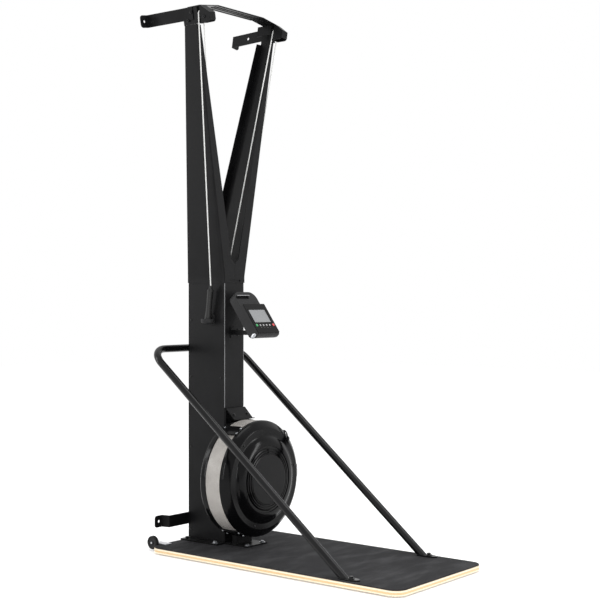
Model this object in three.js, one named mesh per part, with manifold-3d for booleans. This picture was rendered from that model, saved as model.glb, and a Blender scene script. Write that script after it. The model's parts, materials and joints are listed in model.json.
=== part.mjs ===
// Standing ski trainer: two cords run over a pair of tall arms and turn a fan at the foot of the column.
// Millimetres. X runs across the machine, -Y is the user's side and +Z is up.
// Y is 0 at the rear edge of the board until the whole group is moved at the end of the file.
import * as THREE from 'three';
import { mergeVertices } from 'three/addons/utils/BufferGeometryUtils.js';
import Module from 'manifold-3d';

const wasm = await Module();
wasm.setup();

// Sizes that several pieces share
const fit = 0.3; // gap between pieces that touch
const overrun = 6; // how far a cutting tool passes the face that it cuts
const sheet = 3; // folded sheet steel
const wallPlane = 38; // the wall, behind the rear edge of the board
const degree = Math.PI / 180;

// Base
const runner = { height: 5, depth: 50, inset: 34 };
const board = { width: 567, length: 1200, thickness: 19, corner: 48, under: runner.height + fit };
const cover = { thickness: 3.7, inset: 1.5 };
const deck = board.under + board.thickness + fit + cover.thickness;

// Column
const foot = { width: 212, thickness: 6, bolt: 7, boltHigh: 8, boltIn: 16, boltAlong: 22 };
const column = { width: 116, depth: 201, wall: 2.5, lip: 18, belowBend: 2 };
const columnBottom = deck + fit + foot.thickness + fit;

// Arms: folded channels that clasp the top of the column
const arm = {
  sheet: 3.2, skirtDrop: 27, bend: 1110, seamRise: 50, gapRise: 68, gapHalf: 21, rise: 985, flange: 30,
  outerAtTop: 234, widthAtTop: 20, frontAtTop: 215.6, rearAtTop: 145.4,
};
const armTop = arm.bend + arm.rise;
const armSkirt = arm.bend - arm.skirtDrop;
const seamTop = arm.bend + arm.seamRise;
const gapFoot = arm.bend + arm.gapRise;
const slot = { width: 66, height: 8, drop: 18 };
const slotHeight = arm.bend - slot.drop;
const armFoot = {
  outer: column.width / 2 + fit + arm.sheet,
  front: -(column.depth + fit + arm.sheet),
  rear: fit + arm.sheet,
};
const armTilt = Math.atan2(arm.outerAtTop - armFoot.outer, arm.rise);
const armLength = arm.rise / Math.cos(armTilt);

// Cords and the pulleys that carry them
const cord = { radius: 2.4, sides: 8, bendSteps: 12 };
const pulley = { groove: 12, flange: 16, width: 12, floor: 3, rim: 1.5, bore: 4 };
const cordRun = pulley.groove + cord.radius + fit;

// Pulley heads, in the tilted frame of the arm that carries them
const head = {
  width: 34, height: 68, reach: 70, corner: 12, noseHeight: 36, slope: 44,
  bayGap: 1.5, cordOut: 0.7, pulleyAhead: 13.4, pulleyDrop: 33, innerUp: 25, axleEnd: 3,
};
const headBottom = armLength + fit;
const headTop = headBottom + head.height;
const pulleyMid = {
  out: head.cordOut - cordRun,
  y: -(arm.frontAtTop + head.pulleyAhead),
  up: armLength + head.height - head.pulleyDrop,
};
const bayHalf = pulley.width / 2 + head.bayGap;

// Brace across the heads
const brace = { flatHalf: 146, depth: 65, ahead: 23.4, lip: 10 };

// Wall brackets
const strap = { height: 50, lap: 55, splay: 14, tab: 42, corner: 13, hole: 5, webHole: 6, webHoleIn: 94 };
const lowStrap = { height: 48, bottom: 88, half: 170, tab: 44, hole: 5.5, corner: 11 };

// Support bar and its feet
const bar = {
  radius: 15, sideInset: 31.5, flare: 7, height: 814, behind: 22.5, footInset: 251.5, bend: 85,
  bendSteps: 6, sides: 12,
};
const footSpan = board.width / 2 - bar.sideInset;
const footAhead = board.length - bar.footInset;
const saddle = { out: 38, width: 14, height: 24 };
const barFoot = {
  width: 36, thickness: 5, ahead: 64.5, behind: 16, bolt: 8, boltHigh: 6, boltBack: 37, taper: 29,
};

// Handles and their holders
const handle = {
  length: 142, grip: 13, waist: 11.5, end: 14.5, neck: 7, neckLength: 12, flare: 22, drop: 40, clear: 26,
  ahead: 148.6, leanIn: 6, leanBack: 22,
};
const holder = { radius: 28, wall: 3, rim: 10, bowl: 12, back: 40, backWide: 42 };
const bowlShares = [[0.5, 0], [0.85, 0.45]]; // of its radius and of its depth, from the bottom up

// Console, in a frame whose Z comes out of its face and whose Y runs up it
const desk = {
  width: 130, lean: 54, reach: 144, drop: 167.5, thick: 52, panel: 3, panelTop: 68, bottom: 80,
  top: 140, step: 17, bottomCut: 22, endRound: 22, topRound: 14, upperRound: 34,
};
const deskAhead = column.depth + desk.reach;
const deskHeight = arm.bend - desk.drop;
const glass = { leftMargin: 12, rightMargin: 17, height: 63, top: 40, thickness: 2 };
const glassLeft = glass.leftMargin - desk.width / 2;
const glassRight = desk.width / 2 - glass.rightMargin;
const glassBottom = glass.top - glass.height;
const key = {
  radius: 6, small: 4.5, thick: 4, proud: 1.3, below: 13, well: 3, wellMargin: 3,
  leftMargin: 15, rightMargin: 14,
};
const keyRow = glassBottom - key.below;
const firstKey = key.leftMargin - desk.width / 2;
const lastKey = desk.width / 2 - key.rightMargin;
const smallKeyShares = [0.208, 0.396, 0.584, 0.772]; // of the way from the first key to the last
const pocket = { margin: 5, width: 75, drop: 34, height: 12, depth: 8 };
const pocketLeft = pocket.margin - desk.width / 2;
const pocketBottom = desk.top - pocket.drop;
const rest = { thickness: 3, proud: 8 };
const stalk = { width: 28, barrel: 9, behind: 14, down: 28, plate: 52, plateHigh: 46, ear: 4, pin: 4 };

// Fan
const fan = {
  clear: 38.7, radius: 232, standOff: 24, rearDepth: 32, meshDepth: 72, ringDepth: 6, frontDepth: 50,
  wall: 2.5, mesh: 2, sides: 36, bossRadius: 66, bossWall: 6, eyeFloor: 12,
};
const fanAxis = deck + fan.clear + fan.radius;
const fanRear = -(column.depth + fan.standOff);
const meshRear = fanRear - fan.rearDepth - fit;
const ringRear = meshRear - fan.meshDepth - fit;
const coverRear = ringRear - fan.ringDepth - fit;
const fanFront = coverRear - fan.frontDepth;
// The front cover from its rim inwards, as shares of the fan's radius and of the cover's depth.
// It rounds off to a flat shelf and rises again to a plateau around the centre.
const shelfShare = 0.56;
const eyeShare = 0.431;
const faceShares = [
  [1, 0.04], [0.983, 0.18], [0.953, 0.3], [0.914, 0.44], [0.875, shelfShare], [0.755, shelfShare],
  [0.737, 0.62], [0.698, 0.75], [0.647, 0.85], [0.586, 0.9], [0.53, 0.93], [0.453, 1],
];
const fanEye = fan.radius * eyeShare;
const post = { radius: 5, inset: 38, count: 3, sides: 6 };
const postRing = fan.radius - post.inset;
const wheelFan = {
  postGap: 7, inner: 62, disc: 3, vane: 2.5, vanes: 16, sides: 32, hub: 26, hubLength: 70, gap: 6,
};
const wheelFanRadius = postRing - post.radius - wheelFan.postGap;
const axle = { radius: 10 };
const ring = { band: 9, tab: 14, rise: 1.2, lever: 5, leverWide: 13, leverAngle: 48 };
const cap = { proud: 1.5, edge: 3 };
const hood = { width: 112, rise: 41.7, bend: 8, flange: 66, reach: 50, tab: 12 };
const cradle = {
  width: 120, plate: 5, ahead: 124, block: 26, blockWide: 90, wrap: 23, bolt: 6, boltHigh: 6, boltIn: 14,
};
const bearing = { radius: 20, length: 16, flange: 30, flangeThick: 4 };

// Drive inside the column
const drum = { groove: 25, flange: 34, width: 24, cheek: 3, rear: 110, gap: 16 };
const drumFront = drum.rear + drum.width + drum.gap;
const drumRun = drum.groove + cord.radius + fit;
const guide = { drop: 60, ahead: 129, wallClear: 6.8, plate: 3, high: 80, stubPast: 2 };
const guideHeight = arm.bend - guide.drop;
const guideCordOut = column.width / 2 - column.wall - guide.wallClear - pulley.flange - cordRun;
const boss = { radius: 20, length: 16 };

// Transport wheels
const caster = {
  radius: 27, width: 16, sideInset: 49.5, bore: 4, eye: 10, lift: 6, clear: 2, cheek: 4,
  plate: 3, plateLong: 34,
};
const casterOut = board.width / 2 - caster.sideInset;
const casterHigh = caster.radius + caster.lift;
const casterBehind = caster.radius + caster.clear;

const looks = {
  ply: { color: 0xd9b98a, roughness: 0.7, metalness: 0 },
  deckCover: { color: 0x3a3a3d, roughness: 0.92, metalness: 0 },
  rubber: { color: 0x1b1b1c, roughness: 0.85, metalness: 0 },
  coat: { color: 0x2b2b2c, roughness: 0.55, metalness: 0.1 },
  zinc: { color: 0xc6c8cb, roughness: 0.35, metalness: 0.9 },
  steel: { color: 0x9a9da1, roughness: 0.3, metalness: 1 },
  cord: { color: 0xe8e8e4, roughness: 0.8, metalness: 0 },
  nylon: { color: 0x232325, roughness: 0.5, metalness: 0 },
  gloss: { color: 0x161617, roughness: 0.2, metalness: 0 },
  mesh: { color: 0xb4b1ae, roughness: 0.5, metalness: 0.3 },
  glass: { color: 0x9fa3a3, roughness: 0.25, metalness: 0 },
  green: { color: 0x3fae6a, roughness: 0.4, metalness: 0 },
  red: { color: 0xd6474d, roughness: 0.4, metalness: 0 },
  white: { color: 0xdcdcdc, roughness: 0.4, metalness: 0 },
};

// Closed solids from three.js geometries

function volumeOf(geometry) {
  const place = geometry.attributes.position;
  const corner = [new THREE.Vector3(), new THREE.Vector3(), new THREE.Vector3()];
  let sum = 0;
  for (let i = 0; i < geometry.index.count; i += 3) {
    corner.forEach((c, k) => c.fromBufferAttribute(place, geometry.index.getX(i + k)));
    sum += corner[0].dot(corner[1].clone().cross(corner[2]));
  }
  return sum;
}

// Merges shared corners and turns the faces outwards.
function closed(geometry) {
  const bare = geometry.clone();
  for (const name of Object.keys(bare.attributes)) {
    if (name !== 'position') bare.deleteAttribute(name);
  }
  const merged = mergeVertices(bare);
  if (volumeOf(merged) < 0) {
    const order = merged.index.array;
    for (let i = 0; i < order.length; i += 3) {
      [order[i + 1], order[i + 2]] = [order[i + 2], order[i + 1]];
    }
  }
  return merged;
}

function toSolid(geometry) {
  const shell = closed(geometry);
  return new wasm.Manifold(new wasm.Mesh({
    numProp: 3,
    vertProperties: new Float32Array(shell.attributes.position.array),
    triVerts: new Uint32Array(shell.index.array),
  }));
}

function toGeometry(solid) {
  const mesh = solid.getMesh();
  const geometry = new THREE.BufferGeometry();
  geometry.setAttribute('position', new THREE.BufferAttribute(mesh.vertProperties, 3));
  geometry.setIndex(new THREE.BufferAttribute(mesh.triVerts, 1));
  return geometry;
}

function join(...geometries) {
  return toGeometry(geometries.map(toSolid).reduce((sum, next) => sum.add(next)));
}

function cut(geometry, ...tools) {
  return toGeometry(tools.map(toSolid).reduce((left, tool) => left.subtract(tool), toSolid(geometry)));
}

// A box between two corners.
function block(low, high) {
  const size = high.map((value, i) => value - low[i]);
  const middle = high.map((value, i) => (value + low[i]) / 2);
  return new THREE.BoxGeometry(...size).translate(...middle);
}

// Rods between two places on one axis; at holds the other two coordinates in X, Y, Z order.
function rodX(radius, from, to, at, sides = 16) {
  return new THREE.CylinderGeometry(radius, radius, Math.abs(to - from), sides)
    .rotateZ(Math.PI / 2).translate((from + to) / 2, at[0], at[1]);
}

function rodY(radius, from, to, at, sides = 16) {
  return new THREE.CylinderGeometry(radius, radius, Math.abs(to - from), sides)
    .translate(at[0], (from + to) / 2, at[1]);
}

function rodZ(radius, from, to, at, sides = 16) {
  return new THREE.CylinderGeometry(radius, radius, Math.abs(to - from), sides)
    .rotateX(Math.PI / 2).translate(at[0], at[1], (from + to) / 2);
}

function extrude(shape, depth, curveSegments = 6) {
  return new THREE.ExtrudeGeometry(shape, { depth, bevelEnabled: false, curveSegments });
}

const axesX = new THREE.Matrix4().makeBasis(
  new THREE.Vector3(0, 1, 0), new THREE.Vector3(0, 0, 1), new THREE.Vector3(1, 0, 0));
const axesY = new THREE.Matrix4().makeBasis(
  new THREE.Vector3(1, 0, 0), new THREE.Vector3(0, 0, 1), new THREE.Vector3(0, -1, 0));

// A (Y, Z) outline extruded from low to high along X.
function slabX(shape, low, high, curveSegments) {
  return extrude(shape, high - low, curveSegments).applyMatrix4(axesX).translate(low, 0, 0);
}

// An (X, Z) outline extruded between two places along Y.
function slabY(shape, low, high, curveSegments) {
  return extrude(shape, high - low, curveSegments).applyMatrix4(axesY).translate(0, high, 0);
}

function outline(points) {
  return new THREE.Shape(points.map(([x, y]) => new THREE.Vector2(x, y)));
}

function roundedRectangle(left, bottom, right, top, radius) {
  const shape = new THREE.Shape();
  shape.moveTo(left + radius, bottom);
  shape.lineTo(right - radius, bottom);
  shape.absarc(right - radius, bottom + radius, radius, -Math.PI / 2, 0);
  shape.lineTo(right, top - radius);
  shape.absarc(right - radius, top - radius, radius, 0, Math.PI / 2);
  shape.lineTo(left + radius, top);
  shape.absarc(left + radius, top - radius, radius, Math.PI / 2, Math.PI);
  shape.lineTo(left, bottom + radius);
  shape.absarc(left + radius, bottom + radius, radius, Math.PI, 1.5 * Math.PI);
  return shape;
}

// The outline of a strip of even thickness that follows a bent line and lies on its left.
function stripOutline(line, thickness) {
  const points = line.map(([x, y]) => new THREE.Vector2(x, y));
  const normals = points.slice(1).map((p, i) => {
    const way = p.clone().sub(points[i]).normalize();
    return new THREE.Vector2(-way.y, way.x);
  });
  const offset = points.map((p, i) => {
    const before = normals[Math.max(i - 1, 0)];
    const after = normals[Math.min(i, normals.length - 1)];
    const mitre = before.clone().add(after).normalize();
    return p.clone().addScaledVector(mitre, thickness / mitre.dot(after));
  });
  return new THREE.Shape([...points, ...offset.reverse()]);
}

// A body of revolution about Y from a closed profile of (radius, y) points.
function turned(profile, sides) {
  const points = profile.map(([r, y]) => new THREE.Vector2(r, y));
  const onAxis = profile[0][0] === 0;
  return new THREE.LatheGeometry(onAxis ? points : [...points, points[0]], sides);
}

// Joins flat sections, each a ring of as many points, into one closed body.
function loft(sections) {
  const count = sections[0].length;
  const positions = sections.flat().flatMap((p) => [p.x, p.y, p.z]);
  const order = [];
  for (let s = 0; s + 1 < sections.length; s += 1) {
    for (let i = 0; i < count; i += 1) {
      const a = s * count + i;
      const b = s * count + ((i + 1) % count);
      order.push(a, b, b + count, a, b + count, a + count);
    }
  }
  const capAt = (section, start, flip) => {
    const flat = section.map((p) => new THREE.Vector2(p.x, p.y));
    for (const [a, b, c] of THREE.ShapeUtils.triangulateShape(flat, [])) {
      order.push(start + a, start + (flip ? c : b), start + (flip ? b : c));
    }
  };
  capAt(sections[0], 0, true);
  capAt(sections[sections.length - 1], (sections.length - 1) * count, false);
  const geometry = new THREE.BufferGeometry();
  geometry.setAttribute('position', new THREE.Float32BufferAttribute(positions, 3));
  geometry.setIndex(order);
  return geometry;
}

// A route through given points, with one step of the tube from each point to the next.
class Route extends THREE.Curve {
  constructor(points) {
    super();
    this.points = points;
  }

  getPoint(t, target = new THREE.Vector3()) {
    const last = this.points.length - 1;
    const place = Math.min(t * last, last);
    const i = Math.min(Math.floor(place + 1e-6), last - 1);
    return target.lerpVectors(this.points[i], this.points[i + 1], place - i);
  }

  getPointAt(u, target) {
    return this.getPoint(u, target);
  }

  getTangentAt(u, target = new THREE.Vector3()) {
    const last = this.points.length - 1;
    const i = Math.round(u * last);
    const before = this.points[Math.max(i, 1)].clone().sub(this.points[Math.max(i, 1) - 1]).normalize();
    const j = Math.min(i, last - 1);
    const after = this.points[j + 1].clone().sub(this.points[j]).normalize();
    return target.copy(before.add(after).normalize());
  }
}

function tube(points, radius, sides) {
  const round = new THREE.Shape();
  round.absarc(0, 0, radius, 0, 2 * Math.PI);
  const route = new Route(points);
  return new THREE.ExtrudeGeometry(round, {
    extrudePath: route, steps: points.length - 1, curveSegments: sides, bevelEnabled: false,
  });
}

const machine = new THREE.Group();

function place(parent, name, geometry, look) {
  const mesh = new THREE.Mesh(closed(geometry), new THREE.MeshStandardMaterial(look));
  mesh.name = name;
  parent.add(mesh);
  return mesh;
}

const sides = [['left', -1], ['right', 1]];

// A piece built on the +X side is mirrored for the other side.
function mirrored(geometry, side) {
  return geometry.clone().scale(side, 1, 1);
}

// Base: runners, board and its cover
const boardShape = (inset) => roundedRectangle(
  -board.width / 2 + inset, -board.length + inset, board.width / 2 - inset, -inset, board.corner - inset);

function makeBase() {
  const half = board.width / 2 - runner.inset;
  const rearEnd = -runner.inset;
  const frontEnd = -board.length + runner.inset;
  place(machine, 'base_runner_rear',
    block([-half, rearEnd - runner.depth, 0], [half, rearEnd, runner.height]), looks.rubber);
  place(machine, 'base_runner_front',
    block([-half, frontEnd, 0], [half, frontEnd + runner.depth, runner.height]), looks.rubber);
  const slab = extrude(boardShape(0), board.thickness).translate(0, 0, board.under);
  place(machine, 'base_board', slab, looks.ply);
  const coverBottom = board.under + board.thickness + fit;
  const skin = extrude(boardShape(cover.inset), cover.thickness).translate(0, 0, coverBottom);
  place(machine, 'board_cover', skin, looks.deckCover);
}

// Column: base plate with its bolts, folded shell and rear cover
function makeColumn() {
  const plateBottom = deck + fit;
  const plateTop = plateBottom + foot.thickness;
  const plate = block([-foot.width / 2, -column.depth, plateBottom], [foot.width / 2, -fit, plateTop]);
  const bolts = [-1, 1].flatMap((side) => [-foot.boltAlong, foot.boltAlong - column.depth].map((y) => rodZ(
    foot.bolt, plateBottom + fit, plateTop + foot.boltHigh,
    [side * (foot.width / 2 - foot.boltIn), y], 6)));
  place(machine, 'column_base_plate', join(plate, ...bolts), looks.coat);

  const half = column.width / 2;
  const inner = half - column.wall;
  const rear = -(column.wall + fit);
  const top = arm.bend - column.belowBend;
  const section = outline([
    [-half, -column.depth], [half, -column.depth], [half, rear], [half - column.lip, rear],
    [half - column.lip, rear - column.wall], [inner, rear - column.wall],
    [inner, -column.depth + column.wall], [-inner, -column.depth + column.wall],
    [-inner, rear - column.wall], [column.lip - half, rear - column.wall], [column.lip - half, rear],
    [-half, rear],
  ]);
  const shell = extrude(section, top - columnBottom).translate(0, 0, columnBottom);
  const eye = rodY(bearing.radius + fit, -column.depth - overrun, -column.depth + column.wall + overrun,
    [0, fanAxis], 24);
  place(machine, 'column_shell', cut(shell, eye), looks.coat);
  const panel = block([-half, -column.wall, columnBottom], [half, 0, top]);
  const boxing = rodY(boss.radius, -column.wall - boss.length, -column.wall / 2, [0, fanAxis], 20);
  const seat = rodY(axle.radius + fit, -column.wall - boss.length - overrun, -column.wall,
    [0, fanAxis], 20);
  const pads = [-1, 1].map((side) => block(
    [side * saddle.out - saddle.width / 2, -column.wall / 2, bar.height - saddle.height / 2],
    [side * saddle.out + saddle.width / 2, bar.behind, bar.height + saddle.height / 2]));
  const tubeSeat = rodX(bar.radius + fit, -column.width, column.width, [bar.behind, bar.height], 24);
  place(machine, 'column_rear_cover', cut(join(panel, boxing, ...pads), seat, tubeSeat), looks.coat);
}

// Arms
function armSection(z) {
  const rise = Math.max(0, (z - arm.bend) / arm.rise);
  const outer = THREE.MathUtils.lerp(armFoot.outer, arm.outerAtTop, rise);
  const front = THREE.MathUtils.lerp(armFoot.front, -arm.frontAtTop, rise);
  const rear = THREE.MathUtils.lerp(armFoot.rear, -arm.rearAtTop, rise);
  const opening = (z - gapFoot) / (armTop - gapFoot);
  const gap = THREE.MathUtils.lerp(arm.gapHalf, arm.outerAtTop - arm.widthAtTop, opening);
  const edge = z > seamTop ? gap : fit;
  return [
    [edge, front], [outer, front], [outer, rear], [outer - arm.flange, rear],
    [outer - arm.flange, rear - arm.sheet], [outer - arm.sheet, rear - arm.sheet],
    [outer - arm.sheet, front + arm.sheet], [edge, front + arm.sheet],
  ].map(([x, y]) => new THREE.Vector3(x, y, z));
}

function makeArms() {
  const channel = loft([armSkirt, arm.bend, seamTop, gapFoot, armTop].map(armSection));
  const opening = block(
    [-overrun, armFoot.front - overrun, slotHeight - slot.height / 2],
    [slot.width / 2, armFoot.front + arm.sheet + fit, slotHeight + slot.height / 2]);
  const right = cut(channel, opening);
  for (const [word, side] of sides) {
    place(machine, `arm_${word}`, mirrored(right, side), looks.coat);
  }
}

// A point given in the frame of a tilted arm: outwards, along Y and up the arm.
function onArm(side, out, y, up) {
  const x = armFoot.outer + out * Math.cos(armTilt) + up * Math.sin(armTilt);
  const z = arm.bend - out * Math.sin(armTilt) + up * Math.cos(armTilt);
  return new THREE.Vector3(side * x, y, z);
}

function armFrame(side) {
  const frame = new THREE.Group();
  frame.position.set(side * armFoot.outer, 0, arm.bend);
  frame.rotation.y = side * armTilt;
  machine.add(frame);
  return frame;
}

function grooved(size, bore, floor, rim) {
  const half = size.width / 2;
  return turned([
    [bore, -half], [size.flange, -half], [size.flange, rim - half], [size.groove, -floor / 2],
    [size.groove, floor / 2], [size.flange, half - rim], [size.flange, half], [bore, half],
  ], 20);
}

function headShell() {
  const rear = -arm.rearAtTop;
  const front = -(arm.frontAtTop + head.reach);
  const side = new THREE.Shape();
  side.moveTo(rear, headBottom);
  side.lineTo(rear, headTop);
  side.lineTo(front + head.slope, headTop);
  side.lineTo(front, headBottom + head.noseHeight);
  side.lineTo(front, headBottom + head.corner);
  side.absarc(front + head.corner, headBottom + head.corner, head.corner, Math.PI, 1.5 * Math.PI);
  const body = slabX(side, -head.width, 0, 4);
  const bay = [pulleyMid.y - bayHalf, pulleyMid.y + bayHalf];
  const low = headBottom - overrun;
  const inside = [-head.width + sheet, -sheet];
  return cut(body,
    block([-head.width - overrun, bay[0], low], [overrun, bay[1], headTop - sheet]),
    block([inside[0], bay[1] + sheet, low], [inside[1], rear + overrun, headTop - sheet]),
    block([inside[0], front + sheet, low],
      [inside[1], bay[0] - sheet, headBottom + head.noseHeight - sheet]),
    block([-head.width - overrun, bay[1] + sheet, low],
      [-head.width / 2, rear + overrun, headBottom + head.innerUp]),
    rodY(pulley.bore + fit, bay[0] - sheet - overrun, bay[1] + sheet + overrun,
      [pulleyMid.out, pulleyMid.up]));
}

function strapShape(hasWebHole) {
  const start = -(arm.rearAtTop + strap.lap);
  const bend = wallPlane - sheet;
  const bottom = headTop - strap.height;
  const line = [[fit, start], [fit, -arm.rearAtTop], [fit + strap.splay, wallPlane]];
  const web = extrude(stripOutline(line, -sheet), strap.height).translate(0, 0, bottom);
  const tabIn = fit + strap.splay;
  const tab = slabY(roundedRectangle(tabIn, bottom, tabIn + strap.tab, headTop, strap.corner),
    bend, wallPlane, 4);
  const middle = bottom + strap.height / 2;
  const hole = rodY(strap.hole, bend - overrun, wallPlane + overrun, [tabIn + strap.tab / 2, middle], 12);
  const webHole = rodX(
    strap.webHole, -overrun, strap.splay + overrun, [bend - strap.webHoleIn, middle], 12);
  const square = block([tabIn, bend, bottom], [tabIn + strap.corner, wallPlane, headTop]);
  return cut(join(web, tab, square), hole, ...(hasWebHole ? [webHole] : []));
}

function makeHeads() {
  const shell = headShell();
  const wheel = grooved(pulley, pulley.bore + fit, pulley.floor, pulley.rim);
  const pinHalf = bayHalf + sheet + head.axleEnd;
  for (const [word, side] of sides) {
    const frame = armFrame(side);
    place(frame, `pulley_head_${word}`, mirrored(shell, side), looks.coat);
    place(frame, `wall_strap_${word}`, mirrored(strapShape(side > 0), side), looks.coat);
    const sheave = place(frame, `pulley_${word}`, wheel, looks.nylon);
    sheave.position.set(side * pulleyMid.out, pulleyMid.y, pulleyMid.up);
    const pin = rodY(pulley.bore, -pinHalf, pinHalf, [0, 0]);
    place(frame, `pulley_axle_${word}`, pin, looks.steel).position.copy(sheave.position);
  }
}

// Brace: a flat strip with bent ends that lie on the heads, and lips along its flat
function makeBrace() {
  const outer = onArm(1, 0, 0, headTop + fit);
  const inner = onArm(1, -head.width, 0, headTop + fit);
  const under = inner.z + (inner.x - brace.flatHalf) * Math.tan(armTilt);
  const line = [[outer.x, outer.z], [brace.flatHalf, under], [-brace.flatHalf, under], [-outer.x, outer.z]];
  const front = -(arm.frontAtTop + brace.ahead);
  const rear = front + brace.depth;
  const strip = slabY(stripOutline(line, -sheet), front, rear);
  const lips = [front, rear - sheet].map((y) => block(
    [-brace.flatHalf, y, under - brace.lip], [brace.flatHalf, y + sheet, under + sheet / 2]));
  place(machine, 'top_brace', join(strip, ...lips), looks.coat);
}

// Lower wall bracket: one strip across the back of the column, stepped back to the wall at both ends
function makeLowBracket() {
  const front = fit;
  const step = wallPlane - sheet;
  const top = lowStrap.bottom + lowStrap.height;
  const run = step - front;
  const reach = lowStrap.half + sheet;
  const line = [[-lowStrap.half - run / 4, wallPlane], [-lowStrap.half, front], [lowStrap.half, front],
    [lowStrap.half + run / 4, wallPlane]];
  const web = extrude(stripOutline(line, sheet), lowStrap.height).translate(0, 0, lowStrap.bottom);
  const middle = lowStrap.bottom + lowStrap.height / 2;
  const tabs = [-1, 1].map((side) => {
    const tab = roundedRectangle(0, lowStrap.bottom, lowStrap.tab, top, lowStrap.corner);
    const square = block([0, step, lowStrap.bottom], [lowStrap.corner, wallPlane, top]);
    const whole = join(slabY(tab, step, wallPlane, 4), square).translate(reach, 0, 0);
    return mirrored(whole, side);
  });
  const holes = [-1, 1].map((side) => rodY(lowStrap.hole, step - overrun, wallPlane + overrun,
    [side * (reach + lowStrap.tab / 2), middle], 12));
  place(machine, 'lower_wall_bracket', cut(join(web, ...tabs), ...holes), looks.coat);
}

// Support bar: up from one foot, across behind the column and down to the other
function barRoute() {
  const low = new THREE.Vector3(footSpan, -footAhead, deck);
  const corner = new THREE.Vector3(footSpan + bar.flare, bar.behind, bar.height);
  const down = low.clone().sub(corner).normalize();
  const along = new THREE.Vector3(-1, 0, 0);
  const halfAngle = down.angleTo(along) / 2;
  const tangent = bar.bend / Math.tan(halfAngle);
  const centre = corner.clone().addScaledVector(
    down.clone().add(along).normalize(), bar.bend / Math.sin(halfAngle));
  const first = corner.clone().addScaledVector(down, tangent).sub(centre);
  const last = corner.clone().addScaledVector(along, tangent).sub(centre);
  const sweep = first.angleTo(last);
  const half = [low.clone().addScaledVector(down, bar.radius * 2)];
  for (let i = 0; i <= bar.bendSteps; i += 1) {
    const share = i / bar.bendSteps;
    half.push(centre.clone()
      .addScaledVector(first, Math.sin((1 - share) * sweep) / Math.sin(sweep))
      .addScaledVector(last, Math.sin(share * sweep) / Math.sin(sweep)));
  }
  const otherHalf = half.map((p) => new THREE.Vector3(-p.x, p.y, p.z)).reverse();
  return [...half, ...otherHalf];
}

function makeBar() {
  const feetTop = deck + fit + barFoot.thickness + fit;
  const reach = footSpan + bar.radius * 3;
  const ground = block(
    [-reach, -footAhead - bar.radius * 6, deck - bar.radius * 4],
    [reach, -footAhead + bar.radius * 6, feetTop]);
  place(machine, 'support_bar', cut(tube(barRoute(), bar.radius, bar.sides), ground), looks.coat);
  const bottom = deck + fit;
  const top = bottom + barFoot.thickness;
  const tongue = new THREE.Shape();
  const tip = -footAhead - barFoot.ahead;
  const half = barFoot.width / 2;
  tongue.moveTo(-half, -footAhead + barFoot.behind);
  tongue.lineTo(-half, tip + barFoot.taper);
  tongue.quadraticCurveTo(-half / 2, tip, 0, tip);
  tongue.quadraticCurveTo(half / 2, tip, half, tip + barFoot.taper);
  tongue.lineTo(half, -footAhead + barFoot.behind);
  const boltY = tip + barFoot.boltBack;
  for (const [word, side] of sides) {
    const plate = extrude(tongue, barFoot.thickness, 4).translate(side * footSpan, 0, bottom);
    const bolt = rodZ(barFoot.bolt, bottom + fit, top + barFoot.boltHigh, [side * footSpan, boltY], 6);
    place(machine, `support_foot_${word}`, join(plate, bolt), looks.zinc);
  }
}

// Handles, their holders and the cords
const handleTop = (side) => new THREE.Vector3(
  side * (column.width / 2 + handle.clear), -handle.ahead, arm.bend - handle.drop);

function handleFrame(side) {
  const frame = new THREE.Group();
  const top = handleTop(side);
  const bottom = top.clone().add(new THREE.Vector3(
    -side * handle.leanIn, handle.leanBack, -Math.sqrt(
      handle.length ** 2 - handle.leanIn ** 2 - handle.leanBack ** 2)));
  frame.position.copy(top);
  frame.quaternion.setFromUnitVectors(new THREE.Vector3(0, -1, 0), bottom.clone().sub(top).normalize());
  machine.add(frame);
  return { frame, bottom };
}

function gripShape() {
  const end = handle.length;
  return turned([
    [0, 0], [handle.neck, 0], [handle.neck, -handle.neckLength],
    [handle.grip, -handle.neckLength - handle.neck], [handle.waist, -end / 2],
    [handle.grip, -end + handle.flare], [handle.end, -end + handle.neck], [handle.end, -end + sheet],
    [handle.grip, -end], [0, -end],
  ], 20);
}

// A round-bottomed cup on a plate that is screwed to the side of the column
function holderShape(bottom) {
  const side = column.width / 2 + fit;
  const floor = bottom.z - sheet - fit;
  const rim = floor + holder.rim;
  const low = floor - holder.bowl;
  const inner = holder.radius - holder.wall;
  const round = bowlShares.map(([across, up]) => [holder.radius * across, low + holder.bowl * up]);
  const bowl = new THREE.LatheGeometry([
    [0, low], ...round, [holder.radius, floor + holder.wall], [holder.radius, rim], [inner, rim],
    [inner, floor + holder.wall], [inner - holder.wall, floor], [0, floor],
  ].map(([x, z]) => new THREE.Vector2(x, z)), 20)
    .rotateX(Math.PI / 2).translate(Math.abs(bottom.x), bottom.y, 0);
  const behind = block([0, bottom.y - column.depth, low - overrun],
    [side, bottom.y + column.depth, rim + overrun]);
  const plate = block([side, bottom.y - holder.backWide / 2, low],
    [side + sheet, bottom.y + holder.backWide / 2, low + holder.back]);
  return join(cut(bowl, behind), plate);
}

function makeHandles() {
  for (const [word, side] of sides) {
    const { frame, bottom } = handleFrame(side);
    place(frame, `handle_${word}`, gripShape(), looks.rubber);

    place(machine, `handle_holder_${word}`, mirrored(holderShape(bottom), side), looks.nylon);

    const exit = onArm(side, pulleyMid.out + cordRun, pulleyMid.y, pulleyMid.up);
    const start = handleTop(side);
    const way = exit.clone().sub(start).normalize();
    const run = [start.clone().addScaledVector(way, fit), exit.clone().addScaledVector(way, -fit)];
    place(machine, `handle_cord_${word}`, tube(run, cord.radius, cord.sides), looks.cord);
  }
}

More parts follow.
